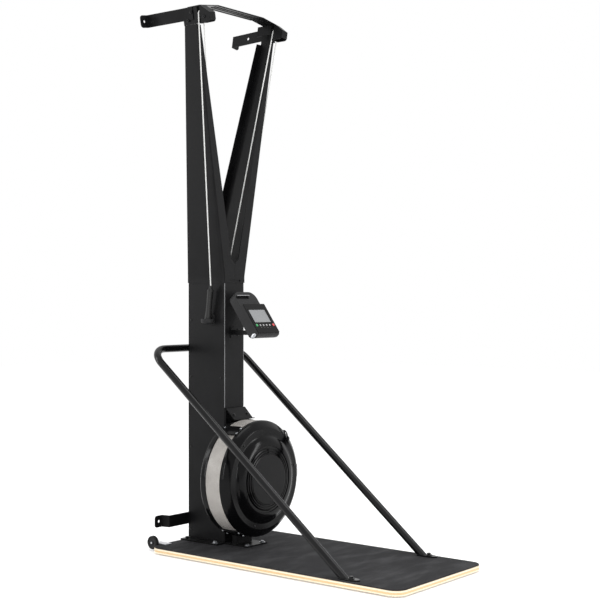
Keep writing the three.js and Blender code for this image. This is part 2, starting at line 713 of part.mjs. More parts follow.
// Drive cords: over the head pulley, down inside the arm, past the guide pulley and down to the drum
function driveRoute(side) {
  const over = [];
  for (let i = 0; i <= cord.bendSteps; i += 1) {
    const angle = (Math.PI * i) / cord.bendSteps;
    over.push(onArm(side, pulleyMid.out + cordRun * Math.cos(angle), pulleyMid.y,
      pulleyMid.up + cordRun * Math.sin(angle)));
  }
  const leave = new THREE.Vector3(side * guideCordOut, -guide.ahead, guideHeight);
  const axis = new THREE.Vector3(side * (guideCordOut + cordRun), -guide.ahead, guideHeight);
  const last = over[over.length - 1];
  const slant = Math.atan2(Math.abs(last.x) - guideCordOut, last.z - guideHeight);
  const touch = axis.clone().add(new THREE.Vector3(
    -side * cordRun * Math.cos(slant), 0, cordRun * Math.sin(slant)));
  const drumY = side > 0 ? drumFront : drum.rear;
  const end = new THREE.Vector3(drumRun, -drumY, fanAxis);
  return [...over, touch, leave, end];
}

function makeDrive() {
  for (const [word, side] of sides) {
    place(machine, `drive_cord_${word}`, tube(driveRoute(side), cord.radius, cord.sides), looks.cord);
    const wheel = grooved(pulley, pulley.bore + fit, pulley.floor, pulley.rim);
    place(machine, `guide_pulley_${word}`, wheel, looks.nylon)
      .position.set(side * (guideCordOut + cordRun), -guide.ahead, guideHeight);
    const reel = grooved(drum, axle.radius + fit, drum.width - drum.cheek * 2, drum.cheek);
    const drumY = side > 0 ? drumFront : drum.rear;
    place(machine, `cord_drum_${word}`, reel, looks.nylon).position.set(0, -drumY, fanAxis);
  }
  const inner = column.width / 2 - column.wall - fit;
  const plateFront = -guide.ahead + bayHalf;
  const plate = block([-inner, plateFront, guideHeight - guide.high / 2],
    [inner, plateFront + guide.plate, guideHeight + guide.high / 2]);
  const stubEnd = -guide.ahead - pulley.width / 2 - guide.stubPast;
  const stubs = [-1, 1].map((side) => rodY(pulley.bore, stubEnd, plateFront + guide.plate / 2,
    [side * (guideCordOut + cordRun), guideHeight]));
  place(machine, 'guide_bracket', join(plate, ...stubs), looks.zinc);
}

// Fan
function makeFan() {
  const fanFrame = new THREE.Group();
  fanFrame.position.z = fanAxis;
  machine.add(fanFrame);
  const r = fan.radius;
  const wall = fan.wall;
  const front = -column.depth - fit;

  const bearingShape = turned([
    [axle.radius + fit, front - bearing.flangeThick], [bearing.flange, front - bearing.flangeThick],
    [bearing.flange, front], [bearing.radius, front],
    [bearing.radius, front + bearing.length], [axle.radius + fit, front + bearing.length],
  ], 20);
  place(fanFrame, 'axle_bearing', bearingShape, looks.steel);

  const rimFront = fanRear - fan.rearDepth;
  const rearShape = turned([
    [fan.bossRadius, front], [fan.bossRadius, fanRear], [r - wall, fanRear], [r, fanRear - wall],
    [r, rimFront], [r - wall, rimFront], [r - wall, fanRear - wall * 2], [r - wall * 2, fanRear - wall],
    [fan.bossRadius - fan.bossWall, fanRear - wall], [fan.bossRadius - fan.bossWall, front],
  ], fan.sides);
  place(fanFrame, 'fan_rear_cover', rearShape, looks.gloss);

  const meshOuter = r - wall / 2;
  const meshShape = turned([
    [meshOuter, meshRear], [meshOuter, meshRear - fan.meshDepth],
    [meshOuter - fan.mesh, meshRear - fan.meshDepth], [meshOuter - fan.mesh, meshRear],
  ], fan.sides);
  place(fanFrame, 'fan_mesh', meshShape, looks.mesh);

  const ringShape = turned([
    [r, ringRear], [r, ringRear - fan.ringDepth], [r - ring.band, ringRear - fan.ringDepth],
    [r - ring.band, ringRear],
  ], fan.sides);
  const face = faceShares.map(([across, deep]) => [r * across, coverRear - fan.frontDepth * deep]);
  const shoulder = face.filter(([, y]) => y >= coverRear - fan.frontDepth * shelfShare).slice(0, -1);
  const over = ring.rise + ring.lever;
  const lever = extrude(outline([
    [r - ring.band / 2, ringRear], [r - ring.band / 2, ringRear - fan.ringDepth],
    [r + ring.rise, ringRear - fan.ringDepth],
    ...shoulder.map(([x, y]) => [x + ring.rise, y - ring.rise]),
    ...shoulder.map(([x, y]) => [x + over, y - over]).reverse(),
    [r + ring.tab, ringRear - fan.ringDepth], [r + ring.tab, ringRear],
  ]), ring.leverWide).translate(0, 0, -ring.leverWide / 2).rotateY(-ring.leverAngle * degree);
  place(fanFrame, 'damper_ring', join(ringShape, lever), looks.gloss);

  const floorY = fanFront + fan.eyeFloor;
  const back = face.slice(1).map(([x, y]) => [x > postRing ? x - wall : x, y + wall]).reverse();
  const coverShape = turned([
    [r, coverRear], ...face, [fanEye, fanFront], [fanEye, floorY], [axle.radius + fit, floorY],
    [axle.radius + fit, floorY + wall], [fanEye + wall, floorY + wall], ...back, [r - wall, coverRear],
  ], fan.sides);
  const shelfBack = coverRear - fan.frontDepth * shelfShare + wall;
  const posts = [];
  for (let i = 0; i < post.count; i += 1) {
    const angle = 2 * Math.PI * ((i + 0.5) / post.count) + Math.PI / 2;
    const at = [postRing * Math.cos(angle), postRing * Math.sin(angle)];
    posts.push(rodY(post.radius, fanRear - wall - fit, shelfBack - wall / 2, at, post.sides));
  }
  place(fanFrame, 'fan_front_cover', join(coverShape, ...posts), looks.gloss);

  const capShape = turned([
    [0, floorY - fit], [fanEye - fit, floorY - fit], [fanEye - fit, fanFront],
    [fanEye - cap.edge, fanFront - cap.proud], [0, fanFront - cap.proud],
  ], fan.sides);
  place(fanFrame, 'fan_cap', capShape, looks.gloss);

  const wheelRear = fanRear - wall - wheelFan.gap;
  const wheelFront = shelfBack + wheelFan.gap;
  const middle = (wheelRear + wheelFront) / 2;
  const disc = turned([
    [axle.radius + fit, middle - wheelFan.hubLength / 2], [wheelFan.hub, middle - wheelFan.hubLength / 2],
    [wheelFan.hub, middle - wheelFan.disc / 2], [wheelFanRadius, middle - wheelFan.disc / 2],
    [wheelFanRadius, middle + wheelFan.disc / 2], [wheelFan.hub, middle + wheelFan.disc / 2],
    [wheelFan.hub, middle + wheelFan.hubLength / 2], [axle.radius + fit, middle + wheelFan.hubLength / 2],
  ], wheelFan.sides);
  const vanes = [];
  for (let i = 0; i < wheelFan.vanes; i += 1) {
    vanes.push(block([wheelFan.inner, wheelFront, -wheelFan.vane / 2],
      [wheelFanRadius - wheelFan.vane, wheelRear, wheelFan.vane / 2])
      .rotateY((2 * Math.PI * i) / wheelFan.vanes));
  }
  place(fanFrame, 'flywheel', join(disc, ...vanes), looks.steel);
  place(fanFrame, 'fan_axle',
    rodY(axle.radius, floorY + fit, -(column.wall + fit), [0, 0], 20), looks.steel);
}

// Brackets that hold the fan to the column and to the board
function makeFanBrackets() {
  const front = -column.depth - fit;
  const half = hood.width / 2;
  const reachY = front - hood.reach;
  const seat = fanAxis + fan.radius + fit + sheet;
  const high = seat + hood.rise;
  const line = [[front, high - hood.flange], [front, high - hood.bend], [front - hood.bend, high],
    [reachY, seat], [reachY - hood.tab, seat]];
  place(machine, 'fan_upper_bracket', slabX(stripOutline(line, sheet), -half, half), looks.coat);

  const bottom = deck + fit;
  const top = bottom + cradle.plate;
  const rearEdge = front;
  const plate = block([-cradle.width / 2, rearEdge - cradle.ahead, bottom],
    [cradle.width / 2, rearEdge, top]);
  const blockFront = fanRear - fan.rearDepth;
  const saddle = block([-cradle.blockWide / 2, blockFront, bottom + fit],
    [cradle.blockWide / 2, blockFront + cradle.block, fanAxis - fan.radius + cradle.wrap]);
  const scoop = rodY(fan.radius + fit, blockFront - overrun, blockFront + cradle.block + overrun,
    [0, fanAxis], fan.sides * 2);
  const bolts = [-1, 1].map((side) => rodZ(cradle.bolt, bottom + fit, top + cradle.boltHigh,
    [side * (cradle.width / 2 - cradle.boltIn), rearEdge - cradle.ahead + cradle.boltIn], 6));
  place(machine, 'fan_lower_bracket', join(plate, cut(saddle, scoop), ...bolts), looks.coat);
}

// Console
function deskFrame() {
  const frame = new THREE.Group();
  frame.position.set(0, -deskAhead, deskHeight);
  frame.rotation.x = desk.lean * degree;
  machine.add(frame);
  return frame;
}

const pivotInDesk = { y: -stalk.down, z: -desk.thick - stalk.behind };

function makeConsole() {
  const frame = deskFrame();
  const half = desk.width / 2;
  const back = -desk.panel - fit;
  const low = -desk.bottom + desk.endRound / 3;
  const profile = new THREE.Shape();
  profile.moveTo(low, back);
  profile.lineTo(desk.panelTop, back);
  profile.lineTo(desk.panelTop, -desk.step);
  profile.lineTo(desk.top, -desk.step);
  profile.lineTo(desk.top, -desk.thick + desk.topRound);
  profile.lineTo(desk.top - desk.topRound, -desk.thick);
  profile.lineTo(-desk.bottom + desk.bottomCut, -desk.thick);
  profile.quadraticCurveTo(
    -desk.bottom + desk.bottomCut / 3, -desk.thick + desk.endRound / 3, -desk.bottom, -desk.endRound);
  profile.quadraticCurveTo(-desk.bottom, back, low, back);
  const bulk = slabX(profile, -half, half, 4);
  const face = roundedRectangle(-half, -desk.bottom - desk.upperRound, half, desk.top, desk.upperRound);
  const trim = extrude(face, desk.thick + overrun * 2, 5).translate(0, 0, -desk.thick - overrun);
  const cornered = toGeometry(toSolid(bulk).intersect(toSolid(trim)));
  const keyRoom = key.radius + key.wellMargin;
  const well = block([firstKey - keyRoom, keyRow - keyRoom, back - key.well],
    [lastKey + keyRoom, keyRow + keyRoom, back + overrun]);
  const earIn = stalk.width / 2 + fit;
  const ears = [-1, 1].map((side) => mirrored(join(
    rodX(stalk.barrel, earIn, earIn + stalk.ear, [pivotInDesk.y, pivotInDesk.z]),
    block([earIn, pivotInDesk.y - stalk.barrel, pivotInDesk.z],
      [earIn + stalk.ear, pivotInDesk.y + stalk.barrel, -desk.thick + sheet])), side));
  const pinHole = rodX(stalk.pin + fit, -half, half, [pivotInDesk.y, pivotInDesk.z], 12);
  const slotLow = -desk.step - pocket.depth;
  const opening = block([pocketLeft, pocketBottom, slotLow],
    [pocketLeft + pocket.width, pocketBottom + pocket.height, -desk.step + overrun]);
  place(frame, 'console_housing', cut(join(cornered, ...ears), well, pinHole, opening), looks.nylon);

  const panelShape = roundedRectangle(-half, low, half, desk.panelTop, sheet);
  const window = new THREE.Path([
    new THREE.Vector2(glassLeft, glass.top), new THREE.Vector2(glassLeft, glassBottom),
    new THREE.Vector2(glassRight, glassBottom), new THREE.Vector2(glassRight, glass.top),
  ]);
  panelShape.holes.push(window);
  const keys = [['start', firstKey, key.radius, looks.green],
    ...smallKeyShares.map((share, i) => [
      `${i + 1}`, firstKey + (lastKey - firstKey) * share, key.small, looks.white]),
    ['stop', lastKey, key.radius, looks.red]];
  for (const [, x, radius] of keys) {
    const hole = new THREE.Path();
    hole.absarc(x, keyRow, radius + fit, 0, 2 * Math.PI, true);
    panelShape.holes.push(hole);
  }
  const panel = extrude(panelShape, desk.panel, 7).translate(0, 0, -desk.panel);
  place(frame, 'console_panel', panel, looks.gloss);
  const pane = block([glassLeft + fit, glassBottom + fit, -desk.panel],
    [glassRight - fit, glass.top - fit, -desk.panel + glass.thickness]);
  place(frame, 'console_screen', pane, looks.glass);
  for (const [word, x, radius, look] of keys) {
    const button = new THREE.CylinderGeometry(radius, radius, key.thick, 14).rotateX(Math.PI / 2)
      .translate(x, keyRow, key.proud - key.thick / 2);
    place(frame, `button_${word}`, button, look);
  }
  const restTop = pocketBottom + pocket.height - fit;
  const lip = block([pocketLeft + fit, restTop - rest.thickness, slotLow + fit],
    [pocketLeft + pocket.width - fit, restTop, -desk.step + rest.proud]);
  place(frame, 'phone_rest', lip, looks.nylon);
}

function makeStalk() {
  const lean = desk.lean * degree;
  const pivot = [
    -deskAhead + pivotInDesk.y * Math.cos(lean) - pivotInDesk.z * Math.sin(lean),
    deskHeight + pivotInDesk.y * Math.sin(lean) + pivotInDesk.z * Math.cos(lean),
  ];
  const front = -column.depth - fit;
  const half = stalk.width / 2;
  const plate = block([-stalk.plate / 2, front - sheet, pivot[1] - stalk.plateHigh / 2],
    [stalk.plate / 2, front, pivot[1] + stalk.plateHigh / 2]);
  const beam = block([-half, pivot[0], pivot[1] - stalk.barrel],
    [half, front - fit, pivot[1] + stalk.barrel]);
  const barrel = rodX(stalk.barrel, -half, half, pivot);
  const pinHalf = half + fit + stalk.ear + sheet;
  const pin = rodX(stalk.pin, -pinHalf, pinHalf, pivot, 12);
  place(machine, 'console_bracket', join(plate, beam, barrel, pin), looks.coat);
}

// Transport wheels behind the rear corners of the board
function makeWheels() {
  const tyre = rodX(caster.radius, casterOut - caster.width / 2, casterOut + caster.width / 2,
    [casterBehind, casterHigh], 24);
  const bore = rodX(caster.bore + fit, casterOut - caster.width, casterOut + caster.width,
    [casterBehind, casterHigh], 12);
  const wheel = cut(tyre, bore);
  const cheekOut = casterOut - caster.width / 2 - fit * 3;
  const bottom = deck + fit;
  const plate = block([cheekOut - caster.plateLong, -caster.plateLong, bottom],
    [cheekOut, casterBehind, bottom + caster.plate]);
  const cheek = block([cheekOut - caster.cheek, fit * 2, casterHigh - caster.eye],
    [cheekOut, casterBehind + caster.eye, bottom + caster.plate]);
  const pin = rodX(caster.bore, cheekOut - caster.cheek / 2, casterOut + caster.width / 2 + sheet,
    [casterBehind, casterHigh], 12);
  for (const [word, side] of sides) {
    place(machine, `transport_wheel_${word}`, mirrored(wheel, side), looks.rubber);
    place(machine, `wheel_bracket_${word}`, mirrored(join(plate, cheek, pin), side), looks.zinc);
  }
}

makeBase();
makeColumn();
makeArms();
makeHeads();
makeBrace();
makeLowBracket();
makeBar();
makeHandles();
makeDrive();
makeFan();
makeFanBrackets();
makeConsole();
makeStalk();
makeWheels();

// The origin is on the floor, in the middle of the machine's outer size.
machine.position.y = (board.length - casterBehind - caster.radius) / 2;
machine.updateMatrixWorld(true);

export default machine;
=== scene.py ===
"""Dresses the ski trainer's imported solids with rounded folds, fine covers, fasteners and finishes.

Lengths are metres in the machine's own frame: X across it, -Y the user's side and +Z up. The steps
of a profile are millimetres from a point of the machine.
"""
from __future__ import annotations

import json
import logging
import math
from collections.abc import Callable, Iterator, Sequence
from contextlib import contextmanager
from dataclasses import dataclass
from enum import Enum
from itertools import pairwise

import bmesh
import bpy
from mathutils import Matrix, Vector
from mathutils.geometry import interpolate_bezier

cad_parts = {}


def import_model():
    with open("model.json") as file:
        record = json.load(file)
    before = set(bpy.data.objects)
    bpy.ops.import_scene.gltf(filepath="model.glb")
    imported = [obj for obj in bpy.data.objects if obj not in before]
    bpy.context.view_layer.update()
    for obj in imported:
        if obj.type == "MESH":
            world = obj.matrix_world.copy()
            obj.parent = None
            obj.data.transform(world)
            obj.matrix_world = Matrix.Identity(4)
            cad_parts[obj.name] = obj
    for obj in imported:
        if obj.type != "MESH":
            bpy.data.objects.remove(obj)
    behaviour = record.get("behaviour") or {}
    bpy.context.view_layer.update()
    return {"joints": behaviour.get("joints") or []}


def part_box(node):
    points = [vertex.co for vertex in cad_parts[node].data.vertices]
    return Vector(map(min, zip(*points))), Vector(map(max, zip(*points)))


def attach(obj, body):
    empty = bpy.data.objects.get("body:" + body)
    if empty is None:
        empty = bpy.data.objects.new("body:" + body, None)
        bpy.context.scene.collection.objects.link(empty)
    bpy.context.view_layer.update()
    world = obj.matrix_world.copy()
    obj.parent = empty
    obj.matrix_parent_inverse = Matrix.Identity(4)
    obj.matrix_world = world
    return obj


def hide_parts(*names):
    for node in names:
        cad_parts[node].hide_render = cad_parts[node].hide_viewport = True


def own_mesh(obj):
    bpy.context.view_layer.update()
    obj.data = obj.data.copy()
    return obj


LOG = logging.getLogger("ski_trainer")
MM = 0.001
FIT = 0.0003  # gap between pieces that touch
MERGE = 1e-5  # points closer than this are one
SMOOTH = 38.0  # degrees that are shaded smooth
FLAT_ANGLE = math.radians(0.4)
FOLD_ANGLE = math.radians(30)
CORNER_ANGLE = 60.0  # degrees from which a block's edges are rounded
BROAD = 0.012  # least width of a broad face
FOLD_STEPS = 4
SQUARE_ON = 0.9  # least part of a normal along the axis that it faces
ARM_LEAN = math.radians(9.9333)
HANDLE_TOP = (0.084, 0.4234, 1.070)
UP = Vector((0, 0, 1))
FORWARD = Vector((0, -1, 0))

Piece = bpy.types.Object
Socket = bpy.types.NodeSocket
Pair = tuple[float, float]
Triple = tuple[float, float, float]
Colour = tuple[float, float, float, float]
Profile = list[Pair]
Steps = tuple[tuple[float, ...], ...]
Places = dict[str, tuple[Vector, Vector]]


class Axis(Enum):
    """An axis that a turned piece is built along."""

    X = (1, 0, 0)
    Y = (0, 1, 0)
    Z = (0, 0, 1)

    @property
    def vector(self) -> Vector:
        """The axis as a unit vector."""
        return Vector(self.value)

    @property
    def facing(self) -> Triple:
        """The rotation that turns a circle's normal onto the axis."""
        return {"X": (0, math.pi / 2, 0), "Y": (math.pi / 2, 0, 0), "Z": (0, 0, 0)}[self.name]


class Side(Enum):
    """The two sides of the machine, with the sign of X."""

    LEFT = -1
    RIGHT = 1

    @property
    def word(self) -> str:
        """The side's name in node names."""
        return self.name.lower()

    @property
    def out(self) -> Vector:
        """The direction away from the machine's middle."""
        return Vector((self.value, 0, 0))


class Select(Enum):
    """What an edit-mode selection picks."""

    FACE = "FACE"
    EDGE = "EDGE"


class Edge(Enum):
    """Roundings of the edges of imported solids."""

    NONE = 0.0
    FINE = 0.0003
    THIN = 0.0004
    SHEET = 0.0005
    PLATE = 0.0006
    SOFT = 0.0008
    MOULDED = 0.0014


class Head(Enum):
    """The kinds of screw head."""

    BUTTON = "button"
    HEX = "hex"


# Work with Blender's operators


def clear_selection() -> None:
    """Leave edit mode and select nothing."""
    if bpy.context.object and bpy.context.object.mode != "OBJECT":
        bpy.ops.object.mode_set(mode="OBJECT")
    bpy.ops.object.select_all(action="DESELECT")


def activate(piece: Piece) -> None:
    """Make a piece the only selected and active object.

    Args:
        piece: The piece.
    """
    clear_selection()
    piece.select_set(True)
    bpy.context.view_layer.objects.active = piece


def linked(name: str, data: bpy.types.ID) -> Piece:
    """Put a new object with its data into the scene.

    Args:
        name: The object's name.
        data: Its mesh, curve, lamp or camera.

    Returns:
        The object.
    """
    piece = bpy.data.objects.new(name, data)
    bpy.context.scene.collection.objects.link(piece)
    return piece


@contextmanager
def editing(piece: Piece) -> Iterator[None]:
    """Hold a piece in edit mode, with all of it selected at first.

    Args:
        piece: The piece.
    """
    activate(piece)
    bpy.ops.object.mode_set(mode="EDIT")
    bpy.ops.mesh.select_mode(type="VERT")
    bpy.ops.mesh.select_all(action="SELECT")
    yield
    bpy.ops.object.mode_set(mode="OBJECT")


def close_up() -> None:
    """Merge the edited mesh's double points and turn all its faces outwards."""
    bpy.ops.mesh.select_all(action="SELECT")
    bpy.ops.mesh.remove_doubles(threshold=MERGE)
    bpy.ops.mesh.normals_make_consistent(inside=False)


def pick(piece: Piece, kind: Select, wanted: Callable[..., bool]) -> int:
    """Select faces or edges of the piece that is being edited.

    Args:
        piece: The piece in edit mode.
        kind: Faces or edges.
        wanted: Says of one face or edge whether it is selected.

    Returns:
        How many were selected.
    """
    bpy.ops.mesh.select_mode(type=kind.value)
    bpy.ops.mesh.select_all(action="DESELECT")
    shape = bmesh.from_edit_mesh(piece.data)
    shape.normal_update()
    found = [part for part in (shape.faces if kind is Select.FACE else shape.edges) if wanted(part)]
    for part in found:
        part.select_set(True)
    bmesh.update_edit_mesh(piece.data)
    return len(found)


def runs_along(edge: bmesh.types.BMEdge, axis: Axis) -> bool:
    """Say whether the two ends of an edge differ along an axis."""
    return abs((edge.verts[0].co - edge.verts[1].co).dot(axis.vector)) > MERGE


def bevel_corners(width: float, segments: int) -> None:
    """Round the edges that are selected in edit mode."""
    bpy.ops.mesh.bevel(offset=width, segments=segments, profile=0.5, affect="EDGES")


def settle(piece: Piece) -> None:
    """Move a piece's place and turn into its mesh."""
    activate(piece)
    bpy.ops.object.transform_apply(location=True, rotation=True, scale=True)


def apply_modifiers(piece: Piece) -> None:
    """Apply all of a piece's modifiers.

    Args:
        piece: The piece.
    """
    activate(piece)
    for modifier in list(piece.modifiers):
        bpy.ops.object.modifier_apply(modifier=modifier.name)


def finish_shape(piece: Piece, angle: float = SMOOTH) -> None:
    """Apply a piece's modifiers and shade it smooth.

    Args:
        piece: The piece.
        angle: Greatest angle, in degrees, that is shaded smooth.
    """
    apply_modifiers(piece)
    bpy.ops.object.shade_smooth_by_angle(angle=math.radians(angle))
    weighted = piece.modifiers.new("weighted", "WEIGHTED_NORMAL")
    weighted.keep_sharp = True
    bpy.ops.object.modifier_apply(modifier=weighted.name)


def round_edges(piece: Piece, width: float, segments: int = 2, angle: float = 35.0) -> None:
    """Round the sharp edges of a piece.

    Args:
        piece: The piece.
        width: The rounding's width.
        segments: The rounding's segments.
        angle: Edges of more than this angle, in degrees, are rounded.
    """
    bevel = piece.modifiers.new("rounded", "BEVEL")
    bevel.width = width
    bevel.segments = segments
    bevel.limit_method = "ANGLE"
    bevel.angle_limit = math.radians(angle)
    bevel.use_clamp_overlap = False
    bevel.miter_outer = "MITER_ARC"


def join_pieces(pieces: Sequence[Piece], name: str) -> Piece:
    """Join pieces into one.

    Args:
        pieces: The pieces, each with its place in its mesh.
        name: The joined piece's name.

    Returns:
        The joined piece.
    """
    for piece in pieces:
        apply_modifiers(piece)
    activate(pieces[0])
    for piece in pieces:
        piece.select_set(True)
    bpy.ops.object.join()
    joined = bpy.context.object
    joined.name = name
    return joined


def facing(place: Vector, way: Vector) -> Matrix:
    """The matrix that takes the origin to a place and Z to a direction."""
    return Matrix.Translation(place) @ way.normalized().to_track_quat("Z", "Y").to_matrix().to_4x4()


def cut_off(piece: Piece, place: Vector, way: Vector) -> None:
    """Cut a piece with a plane and close it.

    Args:
        piece: The piece.
        place: A point of the plane.
        way: The plane's normal, towards the part that is dropped.
    """
    with editing(piece):
        bpy.ops.mesh.bisect(plane_co=place, plane_no=way, use_fill=True, clear_outer=True)
        bpy.ops.mesh.normals_make_consistent(inside=False)


def block(name: str, corner: Vector, far: Vector, edge: float = 0.0, segments: int = 2) -> Piece:
    """A cube primitive resized between two opposite corners, to be shaped further.

    Args:
        name: The piece's name.
        corner: One corner.
        far: The corner opposite to it.
        edge: Rounding of the edges, or 0 for none.
        segments: The rounding's segments.

    Returns:
        The block.
    """
    low, high = (Vector(map(least, corner, far)) for least in (min, max))
    clear_selection()
    bpy.ops.mesh.primitive_cube_add(size=1, location=(low + high) / 2, scale=high - low)
    piece = bpy.context.object
    piece.name = name
    settle(piece)
    if edge:
        round_edges(piece, edge, segments, CORNER_ANGLE)
    return piece


# Profiles and the bodies made from them


def points_from(out: float, along: float, *steps: Pair) -> Profile:
    """Stations of a profile, given in millimetres from one of its points."""
    return [(out + x * MM, along + y * MM) for x, y in steps]


def arc(out: float, along: float, size: float, start: float, end: float, steps: int = 5) -> Profile:
    """Stations along a circular arc, in the unit that its size is given in.

    Args:
        out: The arc's middle, outwards.
        along: The arc's middle along the axis.
        size: The arc's radius.
        start: First angle in degrees, from outwards towards plus along the axis.
        end: Last angle in degrees.
        steps: Number of steps.

    Returns:
        The stations.
    """
    angles = [math.radians(start + (end - start) * i / steps) for i in range(steps + 1)]
    return [(out + size * math.cos(a), along + size * math.sin(a)) for a in angles]


def ring_profile(out: float, first: float, last: float, *steps: Pair) -> Profile:
    """The closed profile of a ring whose two ends are alike.

    Args:
        out: The radius that the steps are measured from.
        first: The ring's first end along the axis.
        last: Its other end.
        *steps: Millimetres outwards and inwards from an end.

    Returns:
        The stations.
    """
    inward = math.copysign(1, last - first)
    start = points_from(out, first, *((x, y * inward) for x, y in steps))
    end = points_from(out, last, *((x, -y * inward) for x, y in reversed(steps)))
    return [*start, *end, start[0]]


def smoothed(stations: Profile, steps: int = 4) -> Profile:
    """A finer profile that curves through the same stations.

    Args:
        stations: The stations.
        steps: Steps between two of them.

    Returns:
        The finer profile.
    """
    points = [Vector((out, along, 0)) for out, along in stations]
    ends = [points[0], *points, points[-1]]
    fine = []
    for before, first, second, after in zip(ends, ends[1:], ends[2:], ends[3:]):
        leave = first + (second - before) / 6
        arrive = second - (after - first) / 6
        fine += interpolate_bezier(first, leave, arrive, second, steps + 1)[:-1]
    return [(point.x, point.y) for point in (*fine, points[-1])]


def turned(name: str, centre: Vector, axis: Axis, stations: Profile, sides: int = 64) -> Piece:
    """Turn a body from a circle that is extruded and resized from station to station.

    Args:
        name: The piece's name.
        centre: The point that the stations are measured from.
        axis: The axis of revolution.
        stations: The profile. One that ends where it starts makes a ring.
        sides: Sides of the circle.

    Returns:
        The turned piece, closed and with its faces pointing out.
    """
    clear_selection()
    radius, along = stations[0]
    bpy.ops.mesh.primitive_circle_add(vertices=sides, radius=radius, fill_type="NOTHING",
                                      location=centre + axis.vector * along, rotation=axis.facing)
    piece = bpy.context.object
    piece.name = name
    settle(piece)
    with editing(piece):
        for (radius, along), (next_radius, next_along) in pairwise(stations):
            step = axis.vector * (next_along - along)
            bpy.ops.mesh.extrude_region_move(TRANSFORM_OT_translate={"value": step})
            if next_radius != radius:
                value = [1 if part else next_radius / radius for part in axis.value]
                bpy.ops.transform.resize(value=value, center_override=centre + axis.vector * next_along)
        bpy.ops.mesh.select_all(action="SELECT")
        bpy.ops.mesh.remove_doubles(threshold=MERGE)
        bpy.ops.mesh.fill_holes(sides=0)
        bpy.ops.mesh.normals_make_consistent(inside=False)
    return piece


def tube(name: str, path: Sequence[Vector], radius: float, sides: int) -> Piece:
    """A closed round tube along a path, with its map laid.

    Args:
        name: The piece's name.
        path: The points of its middle line.
        radius: Its outer radius.
        sides: Sides of its section.

    Returns:
        The tube.
    """
    curve = bpy.data.curves.new(name, "CURVE")
    curve.dimensions = "3D"
    curve.bevel_depth = radius
    curve.bevel_resolution = (sides - 4) // 2
    curve.use_fill_caps = True
    spline = curve.splines.new("POLY")
    spline.points.add(len(path) - 1)
    for point, place in zip(spline.points, path):
        point.co = (*place, 1)
    piece = linked(name, curve)
    activate(piece)
    bpy.ops.object.convert(target="MESH")
    with editing(piece):
        close_up()
    lay_map(piece, path, radius)
    return piece


def lay_map(piece: Piece, path: Sequence[Vector], radius: float) -> None:
    """Map a tube's faces by the turn round its path and the length along it, in metres.

    Args:
        piece: The tube.
        path: The points of its middle line.
        radius: Its outer radius.
    """
    mesh = piece.data
    layer = mesh.uv_layers.get("UVMap") or mesh.uv_layers.new(name="UVMap")
    runs = []
    length = 0.0
    for start, end in pairwise(path):
        runs.append((start, (end - start).normalized(), (end - start).length, length))
        length += (end - start).length

    def distance(spot: Vector, start: Vector, way: Vector, run: float) -> float:
        """How far a point is from one straight run of the path."""
        return (spot - start - way * min(max((spot - start).dot(way), 0), run)).length

    for face in mesh.polygons:
        start, way, _, before = min(runs, key=lambda run: distance(face.center, *run[:3]))
        aside = (Axis.Y.vector - way * way.y).normalized()
        across = way.cross(aside)
        offsets = [mesh.vertices[corner].co - start for corner in face.vertices]
        turns = [math.atan2(off.dot(across), off.dot(aside)) for off in offsets]
        wraps = max(turns) - min(turns) > math.pi
        for loop, off, turn in zip(face.loop_indices, offsets, turns):
            whole = turn + 2 * math.pi if wraps and turn < 0 else turn
            layer.data[loop].uv = (whole * radius, before + off.dot(way))


# Finishes


def colour(red: float, green: float, blue: float) -> Colour:
    """A linear colour from display values of 0 to 255.

    Args:
        red: Red.
        green: Green.
        blue: Blue.

    Returns:
        Red, green, blue and 1.
    """
    linear = [((c / 255 + 0.055) / 1.055) ** 2.4 if c > 10 else c / 255 / 12.92 for c in (red, green, blue)]
    return (*linear, 1.0)


